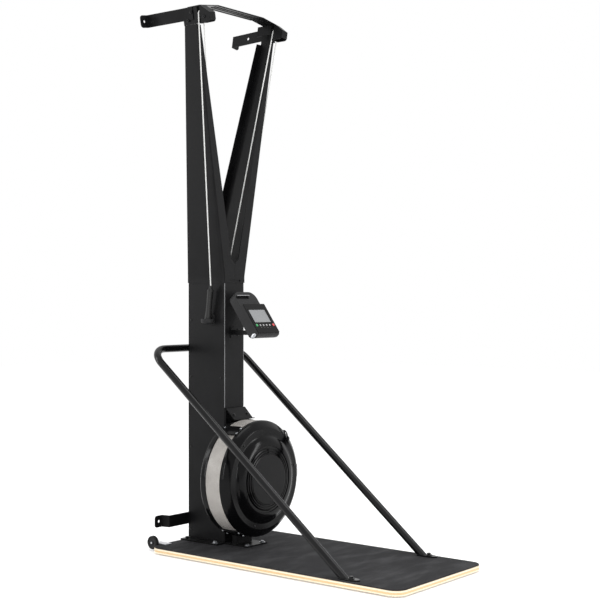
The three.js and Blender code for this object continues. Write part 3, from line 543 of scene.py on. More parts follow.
class Graph:
    """A small writer for one shader or group node tree."""

    def __init__(self, tree: bpy.types.NodeTree) -> None:
        """Start on an existing tree."""
        self.tree = tree

    def put(self, value: object, socket: Socket) -> None:
        """Link an output to a socket, or set a plain value on it.

        Args:
            value: An output or a plain value.
            socket: The input.
        """
        if isinstance(value, Socket):
            self.tree.links.new(value, socket)
        else:
            socket.default_value = value

    def fill(self, node: bpy.types.Node, **values: object) -> bpy.types.Node:
        """Set a node's properties and inputs.

        Args:
            node: The node.
            **values: Properties in small letters, inputs with a capital and _ for a space, in0 for
                the first input.

        Returns:
            The node.
        """
        for key, value in values.items():
            if key[0].isupper():
                self.put(value, node.inputs[key.replace("_", " ")])
            elif key.startswith("in") and key[2:].isdigit():
                self.put(value, node.inputs[int(key[2:])])
            else:
                setattr(node, key, value)
        return node

    def add(self, kind: str, **values: object) -> bpy.types.Node:
        """Add a node of a type, named without ShaderNode, and fill it."""
        name = kind if kind.startswith("Node") else f"ShaderNode{kind}"
        return self.fill(self.tree.nodes.new(name), **values)

    def shared(self, maker: Callable[[], Graph], **values: float) -> bpy.types.bpy_prop_collection:
        """Put in a node group that finishes share.

        Args:
            maker: The function that builds the group at its first use, and has its name.
            **values: Values for its inputs.

        Returns:
            The group's outputs by name.
        """
        group = bpy.data.node_groups.get(maker.__name__) or maker().tree
        return self.add("Group", node_tree=group, **values).outputs

    def math(self, operation: str, *values: object) -> Socket:
        """One math node's result."""
        return self.add("Math", operation=operation, **{f"in{i}": v for i, v in enumerate(values)}).outputs[0]

    def times(self, *values: object) -> Socket:
        """The product of two values."""
        return self.math("MULTIPLY", *values)

    def ramp(self, factor: Socket, low: float, high: float) -> Socket:
        """A smooth mask that rises from 0 at low to 1 at high."""
        return self.add("MapRange", interpolation_type="SMOOTHSTEP", Value=factor, From_Min=low,
                        From_Max=high).outputs[0]

    def mix(self, factor: object, first: object, second: object) -> Socket:
        """A colour mixed from two."""
        return self.add("Mix", data_type="RGBA", in0=factor, in6=first, in7=second).outputs[2]

    def place(self) -> Socket:
        """The point on the piece, in metres."""
        return self.add("TexCoord").outputs["Object"]

    def stretched(self, scale: object) -> Socket:
        """The point on the piece, scaled along each axis."""
        return self.add("VectorMath", operation="MULTIPLY", in0=self.place(), in1=scale).outputs[0]

    def split(self, vector: Socket) -> bpy.types.bpy_prop_collection:
        """The three parts of a vector."""
        return self.add("SeparateXYZ", Vector=vector).outputs

    def noise(self, spot: Socket, scale: object, detail: float, roughness: float = 0.5) -> Socket:
        """Cloudy noise at a point, finer with a greater scale."""
        return self.add("TexNoise", Vector=spot, Scale=scale, Detail=detail, Roughness=roughness).outputs[0]

    def surface(self, relief: Socket, depth: float, **values: object) -> None:
        """Set the shader's inputs, with a relief of a depth in metres."""
        bump = self.add("Bump", Strength=1.0, Distance=depth, Height=relief)
        self.fill(self.tree.nodes["Principled BSDF"], Normal=bump.outputs[0], **values)

    def seen(self, *rays: str) -> Socket:
        """1 for rays of the named kinds and 0 for others.

        Args:
            *rays: Kinds of ray.

        Returns:
            The mask.
        """
        path = self.add("LightPath").outputs
        first, *others = [path[f"Is {ray} Ray"] for ray in rays]
        for other in others:
            first = self.math("MAXIMUM", first, other)
        return first


def new_group(name: str, inputs: dict[str, float], *outputs: str) -> tuple[Graph, dict, bpy.types.Node]:
    """Start a node group with named number sockets.

    Args:
        name: The group's name.
        inputs: Input names with their default values.
        *outputs: Output names.

    Returns:
        Its graph, its input sockets by name and its output node.
    """
    graph = Graph(bpy.data.node_groups.new(name, "ShaderNodeTree"))
    for label in (*inputs, *outputs):
        way = "INPUT" if label in inputs else "OUTPUT"
        socket = graph.tree.interface.new_socket(name=label, in_out=way, socket_type="NodeSocketFloat")
        socket.default_value = inputs.get(label, 0.0)
    entry = graph.add("NodeGroupInput")
    return graph, {label: entry.outputs[label] for label in inputs}, graph.add("NodeGroupOutput")


def surface_grain() -> Graph:
    """The fine even grain of powder coat and moulded plastic, with a slow variation over it.

    Returns:
        The group's graph.
    """
    graph, given, out = new_group("surface_grain", {"Size": 0.0008, "Patch": 0.12}, "Height", "Variation")
    spot = graph.place()
    fine = graph.noise(spot, graph.math("DIVIDE", 1.0, given["Size"]), 2.0, 0.55)
    slow = graph.noise(spot, graph.math("DIVIDE", 1.0, given["Patch"]), 3.0, 0.6)
    graph.fill(out, Height=fine, Variation=graph.ramp(slow, 0.35, 0.68))
    return graph


def brushed_lines() -> Graph:
    """Fine lines along one direction, as on rolled or brushed metal.

    Returns:
        The group's graph.
    """
    along = {"Along X": 40.0, "Along Y": 40.0, "Along Z": 900.0}
    graph, given, out = new_group("brushed_lines", along, "Lines")
    scale = graph.add("CombineXYZ", X=given["Along X"], Y=given["Along Y"], Z=given["Along Z"])
    graph.fill(out, Lines=graph.noise(graph.stretched(scale.outputs[0]), 1.0, 2.0, 0.6))
    return graph


def settled_dust() -> Graph:
    """Faint dust and scuffs on faces that look up.

    Returns:
        The group's graph.
    """
    graph, given, out = new_group("settled_dust", {"Amount": 0.2, "Patch": 0.05}, "Mask")
    up = graph.ramp(graph.split(graph.add("NewGeometry").outputs["Normal"])[2], 0.5, 1.0)
    clouds = graph.noise(graph.place(), graph.math("DIVIDE", 1.0, given["Patch"]), 5.0, 0.65)
    patchy = graph.times(graph.ramp(clouds, 0.42, 0.75), up)
    graph.fill(out, Mask=graph.times(patchy, given["Amount"]))
    return graph


@dataclass(frozen=True)
class Finish:
    """What every finish has: a name, the record's slot, roughness and the colours it varies between."""

    name: str
    slot: str
    colours: tuple[tuple[int, int, int], tuple[int, int, int]]
    roughness: float

    @property
    def base(self) -> tuple[float, ...]:
        """The first colour, linear."""
        return colour(*self.colours[0])

    @property
    def second(self) -> tuple[float, ...]:
        """The second colour, linear."""
        return colour(*self.colours[1])

    def material(self) -> bpy.types.Material:
        """The finish's material, painted at its first use.

        Returns:
            The material.
        """
        material = bpy.data.materials.get(self.name)
        if not material:
            material = bpy.data.materials.new(self.name)
            material.use_nodes = True
            self.paint(Graph(material.node_tree))
        return material

    def paint(self, graph: Graph) -> None:
        """Write the material's nodes."""
        raise NotImplementedError


@dataclass(frozen=True)
class Grained(Finish):
    """Powder coat, moulded plastic or rubber: an even grain, varied slowly, with a little dust."""

    grain: float = 0.0008
    relief: float = 0.00002
    specular: float = 0.3
    spread: float = 0.08
    dust: float = 0.03
    metallic: float = 0.0
    dust_colour: tuple[int, int, int] = (150, 148, 145)

    def paint(self, graph: Graph) -> None:
        """Write the material's nodes.

        Args:
            graph: The graph to write into.
        """
        grain = graph.shared(surface_grain, Size=self.grain)
        dust = graph.shared(settled_dust, Amount=self.dust)["Mask"]
        shift = grain["Variation"]
        varied = graph.mix(shift, self.base, self.second)
        graph.surface(grain["Height"], self.relief, Metallic=self.metallic, Specular_IOR_Level=self.specular,
                      Base_Color=graph.mix(dust, varied, colour(*self.dust_colour)),
                      Roughness=graph.math("MULTIPLY_ADD", shift, self.spread, self.roughness))


@dataclass(frozen=True)
class Metal(Finish):
    """Bare or plated metal with fine rolling lines."""

    along: Triple = (40.0, 900.0, 900.0)
    relief: float = 0.00001
    spread: float = 0.2

    def paint(self, graph: Graph) -> None:
        """Write the material's nodes.

        Args:
            graph: The graph to write into.
        """
        x, y, z = self.along
        lines = graph.shared(brushed_lines, Along_X=x, Along_Y=y, Along_Z=z)["Lines"]
        slow = graph.shared(surface_grain, Size=0.004, Patch=0.03)["Variation"]
        least = self.roughness - self.spread / 2
        graph.surface(lines, self.relief, Base_Color=graph.mix(slow, self.base, self.second),
                      Roughness=graph.math("MULTIPLY_ADD", lines, self.spread, least), Metallic=1.0)


@dataclass(frozen=True)
class DeckSheet(Finish):
    """The anti-slip sheet on the platform: coarse grit with soft scuffs."""

    grit: float = 0.0011
    relief: float = 0.00035
    scuff_scale: Triple = (3.0, 9.0, 1.0)
    speck_colour: tuple[int, int, int] = (96, 96, 98)

    def paint(self, graph: Graph) -> None:
        """Write the material's nodes.

        Args:
            graph: The graph to write into.
        """
        spot = graph.place()
        grit = graph.add("TexVoronoi", Vector=spot, Scale=1 / self.grit).outputs["Distance"]
        speck = graph.noise(spot, 420.0, 3.0, 0.7)
        scuff = graph.ramp(graph.noise(graph.stretched(self.scuff_scale), 1.4, 6.0, 0.62), 0.4, 0.75)
        worn = graph.mix(scuff, self.base, self.second)
        specks = graph.times(graph.ramp(speck, 0.55, 0.8), 0.35)
        height = graph.math("ADD", graph.times(grit, -0.6), graph.times(speck, 0.5))
        graph.surface(height, self.relief, Base_Color=graph.mix(specks, worn, colour(*self.speck_colour)),
                      Roughness=graph.math("MULTIPLY_ADD", scuff, -0.08, self.roughness),
                      Specular_IOR_Level=0.25)


@dataclass(frozen=True)
class Plywood(Finish):
    """Lacquered birch plywood with its veneers along the edge."""

    tint: Colour = (1.0, 0.83, 0.6, 1.0)
    core: Colour = (0.72, 0.5, 0.27, 1.0)
    seam: Colour = (0.34, 0.2, 0.09, 1.0)
    bottom: float = 0.0053
    thickness: float = 0.019
    veneers: int = 3
    wander: float = 0.0006
    grain_scale: Triple = (9.0, 9.0, 1400.0)
    relief: float = 0.00008

    def paint(self, graph: Graph) -> None:
        """Write the material's nodes.

        Args:
            graph: The graph to write into.
        """
        spot = graph.place()
        bent = graph.math("MULTIPLY_ADD", graph.noise(spot, 9.0, 2.0), self.wander, graph.split(spot)[2])
        share = graph.math("DIVIDE", graph.math("SUBTRACT", bent, self.bottom), self.thickness)
        layer = graph.times(share, float(self.veneers))
        odd = graph.math("COMPARE", graph.math("FLOOR", layer), 1.0, 0.5)
        glue = graph.ramp(graph.math("PINGPONG", layer, 0.5), 0.13, 0.02)
        grain = graph.noise(graph.stretched(self.grain_scale), 1.0, 5.0, 0.6)
        pores = graph.noise(spot, 900.0, 2.0, 0.6)
        pale = graph.mix(graph.ramp(grain, 0.35, 0.7), self.base, self.tint)
        deep = graph.mix(graph.ramp(pores, 0.4, 0.75), self.second, self.core)
        lined = graph.mix(graph.times(glue, 0.5), graph.mix(odd, pale, deep), self.seam)
        height = graph.math("SUBTRACT", graph.times(grain, 0.4), graph.times(glue, 0.8))
        graph.surface(height, self.relief, Base_Color=lined, Roughness=self.roughness, Coat_Weight=0.15,
                      Coat_Roughness=0.3)


@dataclass(frozen=True)
class PerforatedSheet(Finish):
    """Light grey sheet with small round holes, rolled round the fan's axis. The holes are painted dark grey
    as painted shade of the fan's inside seen through them.
    """

    axis_height: float = 0.299
    radius: float = 0.2307
    pitch: float = 0.0034
    hole: float = 0.0011
    softness: float = 0.04
    depth: float = 0.0006
    hole_shade_colour: tuple[int, int, int] = (70, 68, 66)

    def paint(self, graph: Graph) -> None:
        """Write the material's nodes.

        Args:
            graph: The graph to write into.
        """
        x, y, z = graph.split(graph.place())
        turn = graph.math("ARCTAN2", x, graph.math("SUBTRACT", z, self.axis_height))
        rows = round(2 * math.pi * self.radius / self.pitch)
        spacing = math.sqrt(3) / 2
        along = graph.math("DIVIDE", y, self.pitch * spacing)
        odd_row = graph.math("MODULO", graph.math("ABSOLUTE", graph.math("FLOOR", along)), 2.0)
        across = graph.math("ADD", graph.times(turn, rows / (2 * math.pi)), graph.times(odd_row, 0.5))
        u, v = (graph.math("SUBTRACT", graph.math("FRACT", part), 0.5) for part in (across, along))
        v = graph.times(v, spacing)
        reach = graph.math("SQRT", graph.math("ADD", graph.times(u, u), graph.times(v, v)))
        size = self.hole / self.pitch
        hole = graph.ramp(reach, size + self.softness, size - self.softness)
        slow = graph.shared(surface_grain, Size=0.0016, Patch=0.05)["Variation"]
        sheet = graph.mix(slow, self.base, self.second)
        # The holes take a dark grey: painted shade of the fan's inside behind them.
        graph.surface(graph.times(hole, -1.0), self.depth, Metallic=0.25,
                      Base_Color=graph.mix(graph.times(hole, 0.8), sheet, colour(*self.hole_shade_colour)),
                      Roughness=graph.math("MULTIPLY_ADD", hole, 0.4, self.roughness))


@dataclass(frozen=True)
class Braid(Finish):
    """Off-white braided cord, darker in the grooves between its strands as painted shade. Its map runs round
    the cord and along it, in metres.
    """

    pitch: float = 0.0022
    depth: float = 0.0004

    def paint(self, graph: Graph) -> None:
        """Write the material's nodes.

        Args:
            graph: The graph to write into.
        """
        round_it, along, _ = graph.split(graph.add("UVMap", uv_map="UVMap").outputs[0])
        strands = []
        for operation in ("ADD", "SUBTRACT"):
            lay = graph.math("DIVIDE", graph.math(operation, round_it, along), self.pitch)
            strands.append(graph.math("PINGPONG", graph.math("FRACT", lay), 0.5))
        plait = graph.ramp(graph.times(*strands), 0.0, 0.16)
        # The grooves between strands take the darker colour: painted shade.
        graph.surface(plait, self.depth, Base_Color=graph.mix(plait, self.second, self.base),
                      Roughness=self.roughness, Sheen_Weight=0.2)


@dataclass(frozen=True)
class Display(Finish):
    """A grey liquid-crystal panel behind a clear window, switched off."""

    depth: float = 0.000004

    def paint(self, graph: Graph) -> None:
        """Write the material's nodes.

        Args:
            graph: The graph to write into.
        """
        spot = graph.place()
        slow = graph.times(graph.noise(spot, 22.0, 2.0), 0.4)
        graph.surface(graph.noise(spot, 2600.0, 1.0), self.depth, Roughness=self.roughness, Coat_Weight=0.6,
                      Base_Color=graph.mix(slow, self.base, self.second), Coat_Roughness=0.06)


COAT = Grained("satin_powder_coat", "powder_coat", ((15, 15, 16), (21, 21, 22)), 0.38, specular=0.1)
NYLON = Grained("moulded_nylon", "nylon", ((34, 34, 35), (42, 42, 43)), 0.44, 0.0011, 0.00004, 0.15)
GLOSS = Grained("glossy_moulding", "gloss_cover", ((6, 6, 7), (10, 10, 11)), 0.12, 0.006, 0.000003, 0.13,
                0.06, 0.012)
TUBE = Grained("semi_gloss_coat", "powder_coat", ((8, 8, 9), (12, 12, 13)), 0.19, 0.001, 0.00001, 0.26,
               dust=0.01)
# Light grey strips on the column's front folds: a painted highlight of the folds.
FOLD_HIGHLIGHT = Grained("bright_seam", "powder_coat", ((112, 112, 114), (130, 130, 132)), 0.3, 0.001, 0.00001, 0.4,
               dust=0.01)
GRIP = Grained("moulded_grip", "black_rubber", ((20, 20, 20), (28, 28, 28)), 0.42, 0.0012, 0.00003, 0.35,
               dust=0.01)
RUBBER = Grained("matt_rubber", "black_rubber", ((22, 22, 22), (33, 33, 33)), 0.72, 0.0014, 0.0001, 0.25)
COVER = Grained("satin_disc", "gloss_cover", ((14, 14, 15), (19, 19, 20)), 0.42, 0.0009, specular=0.14,
                dust=0.01)
# Pale strip on the phone ledge's front edge: a painted highlight of that edge.
LIP_HIGHLIGHT = Grained("pale_nylon", "nylon", ((150, 150, 152), (172, 172, 174)), 0.4, 0.0011, 0.00003)
SCREW = Grained("black_screw", "powder_coat", ((16, 16, 17), (24, 24, 25)), 0.32, 0.0006, specular=0.5,
                metallic=0.4)
DECK = DeckSheet("deck_sheet", "deck_surface", ((34, 34, 36), (58, 58, 60)), 0.88)
BIRCH = Plywood("birch_plywood", "plywood", ((255, 243, 216), (240, 204, 150)), 0.42)
ZINC = Metal("zinc_plate", "zinc", ((208, 209, 212), (180, 182, 187)), 0.3)
STEEL = Metal("machined_steel", "steel", ((176, 178, 181), (150, 152, 156)), 0.28)
MESH = PerforatedSheet("perforated_sheet", "mesh", ((200, 196, 191), (186, 181, 176)), 0.46)
# Its second, darker colour is painted shade in the braid's grooves.
CORD = Braid("braided_cord", "cord", ((252, 252, 251), (224, 224, 221)), 0.75)
SCREEN = Display("display", "screen", ((124, 126, 128), (146, 148, 149)), 0.3)
GREEN = Grained("green_key", "key_green", ((46, 150, 84), (78, 182, 112)), 0.4, specular=0.5)
RED = Grained("red_key", "key_red", ((206, 62, 66), (226, 92, 92)), 0.4, specular=0.5)
WHITE = Grained("white_key", "key_white", ((168, 168, 168), (188, 188, 188)), 0.4, specular=0.5)


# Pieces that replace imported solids


def dress(piece: Piece, finish: Finish, body: str, *nodes: str) -> Piece:
    """Give a finished piece its material, its body and the solids that it stands for.

    Args:
        piece: The finished piece, with its place in its mesh.
        finish: The finish that it takes.
        body: The body that it moves with.
        *nodes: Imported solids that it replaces.

    Returns:
        The piece.
    """
    piece.data.materials.clear()
    piece.data.materials.append(finish.material())
    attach(piece, body)
    if nodes:
        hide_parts(*nodes)
    LOG.info("%s: %d faces", piece.name, len(piece.data.polygons))
    return piece


def complete(piece: Piece, finish: Finish, body: str = "frame", *nodes: str, angle: float = SMOOTH,
             place: Matrix | None = None) -> Piece:
    """Finish a piece's shape and dress it.

    Args:
        piece: The piece, with its modifiers.
        finish: The finish that it takes.
        body: The body that it moves with.
        *nodes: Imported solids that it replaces.
        angle: Greatest angle, in degrees, that is shaded smooth.
        place: A change of place, made once the shape is finished.

    Returns:
        The piece.
    """
    finish_shape(piece, angle)
    if place is not None:
        piece.data.transform(place)
    return dress(piece, finish, body, *nodes)


def copy_of(piece: Piece, name: str, place: Matrix) -> Piece:
    """Copy a piece with its own mesh and change the copy's place.

    Args:
        piece: The piece.
        name: The copy's name.
        place: The change.

    Returns:
        The copy.
    """
    twin = linked(name, piece.data.copy())
    twin.data.transform(place)
    return twin


def is_fold(edge: bmesh.types.BMEdge) -> bool:
    """Say whether an edge is the outer corner of two broad faces.

    Args:
        edge: The edge.

    Returns:
        Whether it is.
    """
    if len(edge.link_faces) != 2 or not edge.is_convex or edge.calc_face_angle(0) < FOLD_ANGLE:
        return False
    return all(face.calc_area() / max(side.calc_length() for side in face.edges) > BROAD
               for face in edge.link_faces)


def worked(node: str, finish: Finish, edge: Edge = Edge.THIN, body: str = "frame",
           fold: float = 0.0) -> Piece:
    """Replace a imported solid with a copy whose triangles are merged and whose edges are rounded.

    Args:
        node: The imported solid's name.
        finish: The finish that the copy takes.
        edge: Rounding of its sharp edges.
        body: The body that it moves with.
        fold: Radius on the outer corners between broad faces, or 0 for none.

    Returns:
        The copy.
    """
    piece = linked(f"{node}_worked", bpy.data.objects[node].data.copy())
    activate(piece)
    if piece.data.has_custom_normals:
        bpy.ops.mesh.customdata_custom_splitnormals_clear()
    with editing(piece):
        close_up()
        bpy.ops.mesh.dissolve_limited(angle_limit=FLAT_ANGLE)
        if fold and pick(piece, Select.EDGE, is_fold):
            bpy.ops.mesh.bevel(offset=fold, segments=FOLD_STEPS, profile=0.5, affect="EDGES",
                               clamp_overlap=True)
    if edge.value:
        round_edges(piece, edge.value)
    return complete(piece, finish, body, node)


def middle_of(node: str) -> Vector:
    """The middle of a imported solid's box."""
    low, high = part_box(node)
    return (low + high) / 2


def handle_top(side: Side) -> Vector:
    """The place where a handle's cord leaves it.

    Args:
        side: The side of the machine.

    Returns:
        The place.
    """
    x, y, z = HANDLE_TOP
    return Vector((side.value * x, y, z))


# Sub-assemblies


@dataclass
class Fasteners:
    """Screws and bolts, modelled once for each size and copied.

    Their profiles are shares of a head's radius and height.
    """

    sides: int = 24
    angle: float = 30.0
    dome_share: float = 0.7
    dome_turn: float = 80.0
    dome_steps: int = 4
    socket: Steps = ((0.45, 1), (0.45, 0.4), (0.135, 0.35))
    hexagon: Steps = ((1, 0), (1, 0.6), (0.86, 0.72), (0.3, 0.72))
    washer: Steps = ((1.5, 0), (1.5, 0.2), (1.4, 0.28), (0.5, 0.28))

    def button(self, radius: float, height: float) -> Piece:
        """A domed screw head with a socket, seated on Z = 0.

        Args:
            radius: The head's radius.
            height: Its height.

        Returns:
            The head.
        """
        curve = height * self.dome_share
        dome = arc(radius - curve, height - curve, curve, 0, self.dome_turn, self.dome_steps)
        socket = [(radius * x, height * y) for x, y in self.socket]
        return turned("head", Vector(), Axis.Z, [(radius, 0), *dome, *socket], self.sides)

    def hex_bolt(self, radius: float, height: float) -> Piece:
        """A hexagonal bolt head on a washer, seated on Z = 0.

        Args:
            radius: The head's radius.
            height: Its height.

        Returns:
            The head.
        """
        washer, hexagon = ([(radius * x, height * y) for x, y in shares]
                           for shares in (self.washer, self.hexagon))
        seat = UP * washer[-1][1]
        head = turned("head", seat, Axis.Z, hexagon, 6)
        washer = turned("washer", Vector(), Axis.Z, washer, self.sides)
        return join_pieces([head, washer], "head")

    def lay(self, head: Head, size: Pair, finish: Finish, places: Places) -> None:
        """Model a head and copy it to its places on the frame.

        Args:
            head: The kind of head.
            size: Its radius and height.
            finish: Its finish.
            places: Each copy's name, with its seat and the direction that it points in.
        """
        model = self.button(*size) if head is Head.BUTTON else self.hex_bolt(*size)
        for name, (place, way) in places.items():
            complete(copy_of(model, name, facing(place, way)), finish, angle=self.angle)
        bpy.data.objects.remove(model)


@dataclass
class Base:
    """The plywood platform with its top sheet and runners."""

    board_corner: float = 0.048
    sheet_corner: float = 0.0465
    corner_steps: int = 14
    chamfer: float = 0.0009

    def slab(self, node: str, corner: float, finish: Finish) -> None:
        """A flat board with rounded corners in a packed board's place.

        Args:
            node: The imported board.
            corner: Radius of its corners.
            finish: Its finish.
        """
        piece = block(f"{node}_slab", *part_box(node), self.chamfer)
        with editing(piece):
            pick(piece, Select.EDGE, lambda edge: runs_along(edge, Axis.Z))
            bevel_corners(corner, self.corner_steps)
        complete(piece, finish, "frame", node)

    def build(self) -> None:
        """Build the platform."""
        self.slab("base_board", self.board_corner, BIRCH)
        self.slab("board_cover", self.sheet_corner, DECK)
        for end in ("rear", "front"):
            worked(f"base_runner_{end}", RUBBER, Edge.SOFT)


@dataclass
class Column:
    """The folded column with its base plate, rear cover and screws."""

    fasteners: Fasteners
    fold: float = 0.0035
    screw: Pair = (0.0042, 0.0022)
    screw_from_rear: float = 0.012
    screw_from_front: float = 0.022
    rear_rows: tuple[float, ...] = (0.066, 0.408, 0.698, 0.93)
    front_rows: tuple[float, ...] = (0.698,)
    bolt: Pair = (0.0088, 0.0088)
    bolt_inset: float = 0.016
    # The bead is a light grey strip on a front fold: a painted highlight of the fold.
    bead: float = 0.0026
    highlight_edge_share: float = 1 / 2.2
    highlight_steps: int = 4
    highlight_proud: float = 0.0002
    highlight_gap: float = 0.002

    def build(self) -> None:
        """Build the column and its screws."""
        worked("column_shell", COAT, Edge.FINE, fold=self.fold)
        worked("column_rear_cover", COAT, Edge.FINE)
        worked("column_base_plate", COAT, Edge.PLATE)
        low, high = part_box("column_shell")
        rows = [(high.y - self.screw_from_rear, z) for z in self.rear_rows]
        rows += [(low.y + self.screw_from_front, z) for z in self.front_rows]
        self.fasteners.lay(Head.BUTTON, self.screw, SCREW, {
            f"column_screw_{side.word}_{number}": (Vector((side.value * high.x, *row)), side.out)
            for side in Side for number, row in enumerate(rows, 1)})
        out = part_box("column_base_plate")[1].x - self.bolt_inset
        seat = (low.y + self.screw_from_front, low.z - FIT)
        self.fasteners.lay(Head.HEX, self.bolt, STEEL, {
            f"base_bolt_{side.word}": (Vector((side.value * out, *seat)), UP) for side in Side})
        self.fold_highlights(low.y - self.highlight_proud, high.x + self.highlight_proud)

    def fold_highlights(self, front: float, outer: float) -> None:
        """Lay a light grey rounded strip along each front fold, from the fan's bracket up to the arms, as a
        painted highlight of the fold.

        Args:
            front: Y of the strips' front.
            outer: X of their outer side.
        """
        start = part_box("fan_upper_bracket")[1].z + self.highlight_gap
        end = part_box("arm_left")[0].z - self.highlight_gap
        for side in Side:
            inner = Vector((side.value * (outer - self.bead), front + self.bead, end))
            complete(block(f"column_seam_{side.word}", Vector((side.value * outer, front, start)), inner,
                           self.bead * self.highlight_edge_share, self.highlight_steps), FOLD_HIGHLIGHT)


@dataclass
class Arms:
    """The two folded arms, the pulley heads on them, their straps and the brace across them."""

    fasteners: Fasteners
    fold: float = 0.0042
    head_fold: float = 0.004
    foot_out: float = 0.0615
    rise: float = 0.985
    bolt: Pair = (0.0062, 0.0046)
    bolt_lift: float = 0.0035
    head_sheet: float = 0.0032
    bolt_places: Steps = ((0.380, 2.141), (0.400, 2.112), (0.316, 2.117))
    brace_flat: float = 0.1385
    brace_sheet: float = 0.0032
    brace_edge: float = 0.0006
    brace_angle: float = 40.0
    rib_from_end: float = 0.004
    rib_drop: float = 0.002
    rib_root: float = 0.001
    rib_edge: float = 0.0012
    ribs: Steps = ((0.035, 0.0015), (0.38, 0.003), (0.62, 0.003), (0.965, 0.0015))

    def build(self) -> None:
        """Build the arms and heads."""
        for side in Side:
            word = side.word
            worked(f"arm_{word}", COAT, Edge.FINE, fold=self.fold)
            worked(f"pulley_head_{word}", COAT, fold=self.head_fold)
            worked(f"wall_strap_{word}", COAT, Edge.PLATE)
            worked(f"pulley_axle_{word}", STEEL, Edge.SHEET)
            worked(f"pulley_{word}", NYLON, Edge.FINE, f"pulley_{word}")
            self.bolts(side)
        self.brace()
        worked("lower_wall_bracket", COAT, Edge.PLATE)

    def brace(self) -> None:
        """The formed strip across the heads, with a small lip at each edge and two pressed ribs."""
        low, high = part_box("top_brace")
        flat = self.brace_flat
        under = high.z - self.brace_sheet
        strip = block("top_brace_strip", Vector((-flat, low.y, under)), Vector((flat, high.y, high.z)))
        with editing(strip):
            for side in Side:
                pick(strip, Select.FACE, lambda face: face.normal.x * side.value > SQUARE_ON)
                step = side.out * (high.x - flat) - UP * (high.x - flat) * math.tan(ARM_LEAN)
                bpy.ops.mesh.extrude_region_move(TRANSFORM_OT_translate={"value": step})
        round_edges(strip, self.brace_edge, angle=self.brace_angle)
        parts = [strip]
        end = flat - self.rib_from_end
        for share, half in self.ribs:
            middle = low.y + share * (high.y - low.y)
            parts.append(block("brace_rib", Vector((-end, middle - half, under - self.rib_drop)),
                               Vector((end, middle + half, under + self.rib_root)), self.rib_edge, 3))
        complete(join_pieces(parts, "top_brace_strip"), TUBE, "frame", "top_brace")

    def bolts(self, side: Side) -> None:
        """Bolt the strap and the head to the arm.

        Args:
            side: The side of the machine.
        """
        low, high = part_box(f"arm_{side.word}")
        top = max(abs(low.x), abs(high.x))
        lean = math.atan2(top - self.foot_out, self.rise)
        way = Vector((side.value * math.cos(lean), 0, -math.sin(lean)))
        strap_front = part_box(f"wall_strap_{side.word}")[0].y
        places = {}
        for number, (y, z) in enumerate(self.bolt_places, 1):
            out = top + self.bolt_lift * math.cos(lean) + (z - high.z) * math.tan(lean)
            back = self.head_sheet if y < strap_front else 0.0
            places[f"arm_bolt_{side.word}_{number}"] = (Vector((side.value * out, y, z)) - way * back, way)
        self.fasteners.lay(Head.BUTTON, self.bolt, SCREW, places)


@dataclass
class Cords:
    """The cords, and the pulleys and drums that carry them."""

    joints: list[dict]
    radius: float = 0.0024
    run: float = 0.0147
    drum_run: float = 0.0277
    pull_range: float = 0.95
    arc_steps: int = 16
    straight_steps: int = 10
    sides: int = 16
    angle: float = 60.0

    def build(self) -> None:
        """Build the drive and both handle cords."""
        for side in Side:
            for node in (f"guide_pulley_{side.word}", f"cord_drum_{side.word}"):
                worked(node, NYLON, Edge.FINE, node)
            self.braid(f"drive_cord_{side.word}", self.drive_path(side), "frame")
            self.handle_cord(side)
        worked("guide_bracket", ZINC)
        worked("axle_bearing", STEEL)

    def braid(self, node: str, path: Sequence[Vector], body: str) -> Piece:
        """A braided cord in a packed cord's place."""
        return complete(tube(f"{node}_braid", path, self.radius, self.sides), CORD, body, node,
                        angle=self.angle)

    def over_pulley(self, side: Side) -> list[Vector]:
        """The half turn over the head pulley, from the handle's side to the arm's.

        Args:
            side: The side of the machine.

        Returns:
            The points of the path.
        """
        out = Vector((side.value * math.cos(ARM_LEAN), 0, -math.sin(ARM_LEAN)))
        up = Vector((side.value * math.sin(ARM_LEAN), 0, math.cos(ARM_LEAN)))
        centre = middle_of(f"pulley_{side.word}")
        turns = [math.pi * i / self.arc_steps for i in range(self.arc_steps + 1)]
        return [centre + self.run * (out * math.cos(turn) + up * math.sin(turn)) for turn in turns]

    def drive_path(self, side: Side) -> list[Vector]:
        """Over the head pulley, down inside the arm, past the guide pulley and down to the drum.

        Args:
            side: The side of the machine.

        Returns:
            The points of the path.
        """
        over = self.over_pulley(side)
        guide = middle_of(f"guide_pulley_{side.word}")
        leave = guide - side.out * self.run
        slant = math.atan2(abs(over[-1].x) - abs(leave.x), over[-1].z - leave.z)
        touch = guide + self.run * Vector((-side.value * math.cos(slant), 0, math.sin(slant)))
        drum = middle_of(f"cord_drum_{side.word}")
        return [*over, touch, leave, Vector((self.drum_run, drum.y, drum.z))]

    def handle_cord(self, side: Side) -> None:
        """The straight run from the head pulley to the handle, which moves with the handle.

        Args:
            side: The side of the machine.
        """
        word = side.word
        top = self.over_pulley(side)[0]
        foot = handle_top(side)
        gap = (top - foot).normalized() * FIT
        start = foot + gap
        end = top - gap
        path = [start.lerp(end, i / self.straight_steps) for i in range(self.straight_steps + 1)]
        piece = self.braid(f"handle_cord_{word}", path, f"handle_{word}")
        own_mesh(piece)


